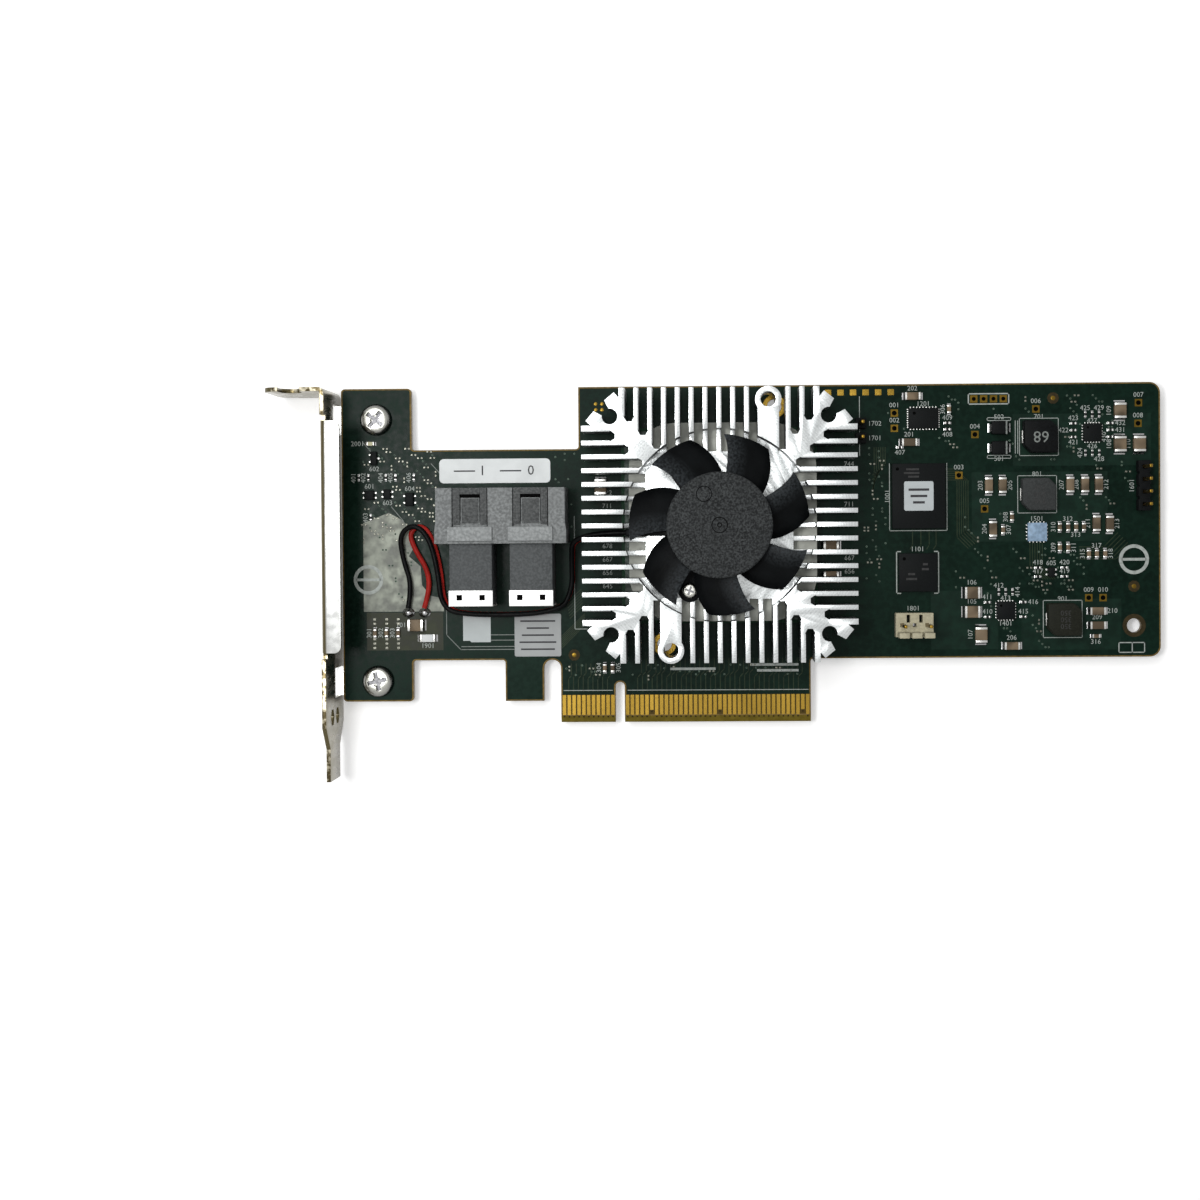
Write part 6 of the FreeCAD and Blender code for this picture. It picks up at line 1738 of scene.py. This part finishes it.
class CARD_OT_stage(CardOperator, bpy.types.Operator):
    """Set the floor, the lamps, the white background and the camera"""
    bl_idname = "card.stage"
    bl_label = "Stage"

    # All in metres. The floor lies just below the lowest solid.
    FLOOR_SIZE, FLOOR_MIDDLE, FLOOR_GAP = 3.0, (0.02, 0.035), 0.00002
    # Place, target and size of each lamp
    KEY_LAMP = (-0.10, 0.22, 0.46), (0.01, 0.035, 0), 0.32
    OVERHEAD_LAMP = (0.02, 0.05, 0.85), (0.02, 0.04, 0), 0.12
    SIDE_LAMP = (-0.125, 0.045, 0.46), (-0.03, 0.04, 0), 0.10
    CAMERA_PLACE = (0.01864, 0.0378, 0.402785)
    # The camera's two directions: from the card back to it, and what is up in the picture
    CAMERA_BACK, CAMERA_UP = (0.028, 0.0157, 1), (0.007, 1, 0)
    LENS, SENSOR, SHIFT = 58.74, 36.0, (-0.046, -0.026)
    NEAREST, FARTHEST = 0.01, 20

    def build(self, p, sizes):
        scene, light = bpy.context.scene, bpy.context.scene.card_light
        scene.view_settings.view_transform = "Standard"
        level = CAD_BOX[0][2] - self.FLOOR_GAP
        grid = bmesh.new()
        bmesh.ops.create_grid(grid, x_segments=1, y_segments=1, size=self.FLOOR_SIZE,
                              matrix=Matrix.Translation((*self.FLOOR_MIDDLE, level)))
        mesh_piece("floor", grid, [self.floor_finish()], 0)
        self.sky(scene, light.sky)
        self.lamp("key_lamp", *self.KEY_LAMP, light.key)
        self.lamp("overhead_lamp", *self.OVERHEAD_LAMP, light.overhead)
        self.lamp("side_lamp", *self.SIDE_LAMP, light.side)
        self.camera(scene)

    def camera(self, scene):
        view = bpy.data.cameras.new("camera")
        view.lens, view.sensor_width = self.LENS, self.SENSOR
        view.clip_start, view.clip_end = self.NEAREST, self.FARTHEST
        view.shift_x, view.shift_y = self.SHIFT
        holder = bpy.data.objects.new("camera", view)
        back = Vector(self.CAMERA_BACK).normalized()
        across = Vector(self.CAMERA_UP).cross(back).normalized()
        turn = Matrix((across, back.cross(across), back)).transposed()
        holder.matrix_world = Matrix.Translation(self.CAMERA_PLACE) @ turn.to_4x4()
        scene.collection.objects.link(holder)
        scene.camera = holder

    def floor_finish(self):
        """White paper, lifted to plain white where the camera or a mirror sees it, less its shadows."""
        near_lift, far_lift, near, far = 0.30, 1.0, 0.2, 0.9
        finish = Finish("white_floor", Roughness=0.9, Specular_IOR_Level=0.0)
        fibre = finish.noise(0.004, detail=4.0)
        paper = finish.blend(finish.ramp(fibre, 0, 1), (0.78, 0.78, 0.78), (0.82, 0.82, 0.82))
        seen = self.seen(finish.material.node_tree)
        finish.tint(finish.blend(seen, paper, (1, 1, 1)))
        finish.shader.inputs["Emission Color"].default_value = (1, 1, 1, 1)
        reach = finish.add("ShaderNodeVectorMath", operation="LENGTH")
        finish.join(finish.place, reach, 0)
        lift = finish.add("ShaderNodeMath", operation="MULTIPLY")
        finish.join(finish.ramp(reach.outputs["Value"], near_lift, far_lift, near, far), lift, 0)
        finish.join(seen, lift, 1)
        finish.join(lift.outputs["Value"], finish.shader, "Emission Strength")
        return finish.material

    def seen(self, tree):
        """One for rays from the camera and for reflected and transmitted rays."""
        path = tree.nodes.new("ShaderNodeLightPath")
        total = path.outputs["Is Camera Ray"]
        for ray in ("Is Glossy Ray", "Is Transmission Ray"):
            both = tree.nodes.new("ShaderNodeMath")
            both.operation = "MAXIMUM"
            tree.links.new(total, both.inputs[0])
            tree.links.new(path.outputs[ray], both.inputs[1])
            total = both.outputs["Value"]
        return total

    def sky(self, scene, strength):
        """Even light, and plain white where the camera or a mirror sees it."""
        world = bpy.data.worlds.new("white_sky")
        world.use_nodes = True
        scene.world = world
        tree = world.node_tree
        background = tree.nodes["Background"]
        background.inputs["Color"].default_value = (1, 1, 1, 1)
        level = tree.nodes.new("ShaderNodeMapRange")
        level.inputs["To Min"].default_value = strength
        level.inputs["To Max"].default_value = 1.0
        tree.links.new(self.seen(tree), level.inputs["Value"])
        tree.links.new(level.outputs["Result"], background.inputs["Strength"])

    def lamp(self, name, place, target, size, energy):
        data = bpy.data.lights.new(name, "AREA")
        data.shape, data.size, data.energy = "DISK", size, energy
        item = bpy.data.objects.new(name, data)
        item.location = place
        item.rotation_euler = (Vector(target) - Vector(place)).to_track_quat("-Z", "Y").to_euler()
        bpy.context.scene.collection.objects.link(item)


OPERATORS = (CARD_OT_board, CARD_OT_print, CARD_OT_plated_holes, CARD_OT_bracket, CARD_OT_screws,
             CARD_OT_cooler, CARD_OT_fan, CARD_OT_wires, CARD_OT_ports, CARD_OT_labels, CARD_OT_chips,
             CARD_OT_chip_parts, CARD_OT_headers, CARD_OT_stage)


class CARD_PT_panel(bpy.types.Panel):
    """Lists the settings and the steps in the order they are run"""
    bl_idname = "CARD_PT_panel"
    bl_label = "Card"
    bl_space_type, bl_region_type, bl_category = "VIEW_3D", "UI", "Card"

    def draw(self, context):
        for owner in (context.scene.card_colours, context.scene.card_sizes, context.scene.card_light):
            for name in type(owner).__annotations__:
                self.layout.prop(owner, name)
        for operator in OPERATORS:
            self.layout.operator(operator.bl_idname)


GROUPS = {"card_colours": CardColours, "card_sizes": CardSizes, "card_light": CardLight}


def register():
    for name, group in GROUPS.items():
        bpy.utils.register_class(group)
        setattr(bpy.types.Scene, name, PointerProperty(type=group))
    for kind in (*OPERATORS, CARD_PT_panel):
        bpy.utils.register_class(kind)


def unregister():
    for kind in (CARD_PT_panel, *reversed(OPERATORS)):
        bpy.utils.unregister_class(kind)
    for name, group in GROUPS.items():
        delattr(bpy.types.Scene, name)
        bpy.utils.unregister_class(group)


def main():
    register()
    for operator in OPERATORS:
        area, name = operator.bl_idname.split(".")
        getattr(getattr(bpy.ops, area), name)()


if __name__ == "__main__":
    main()
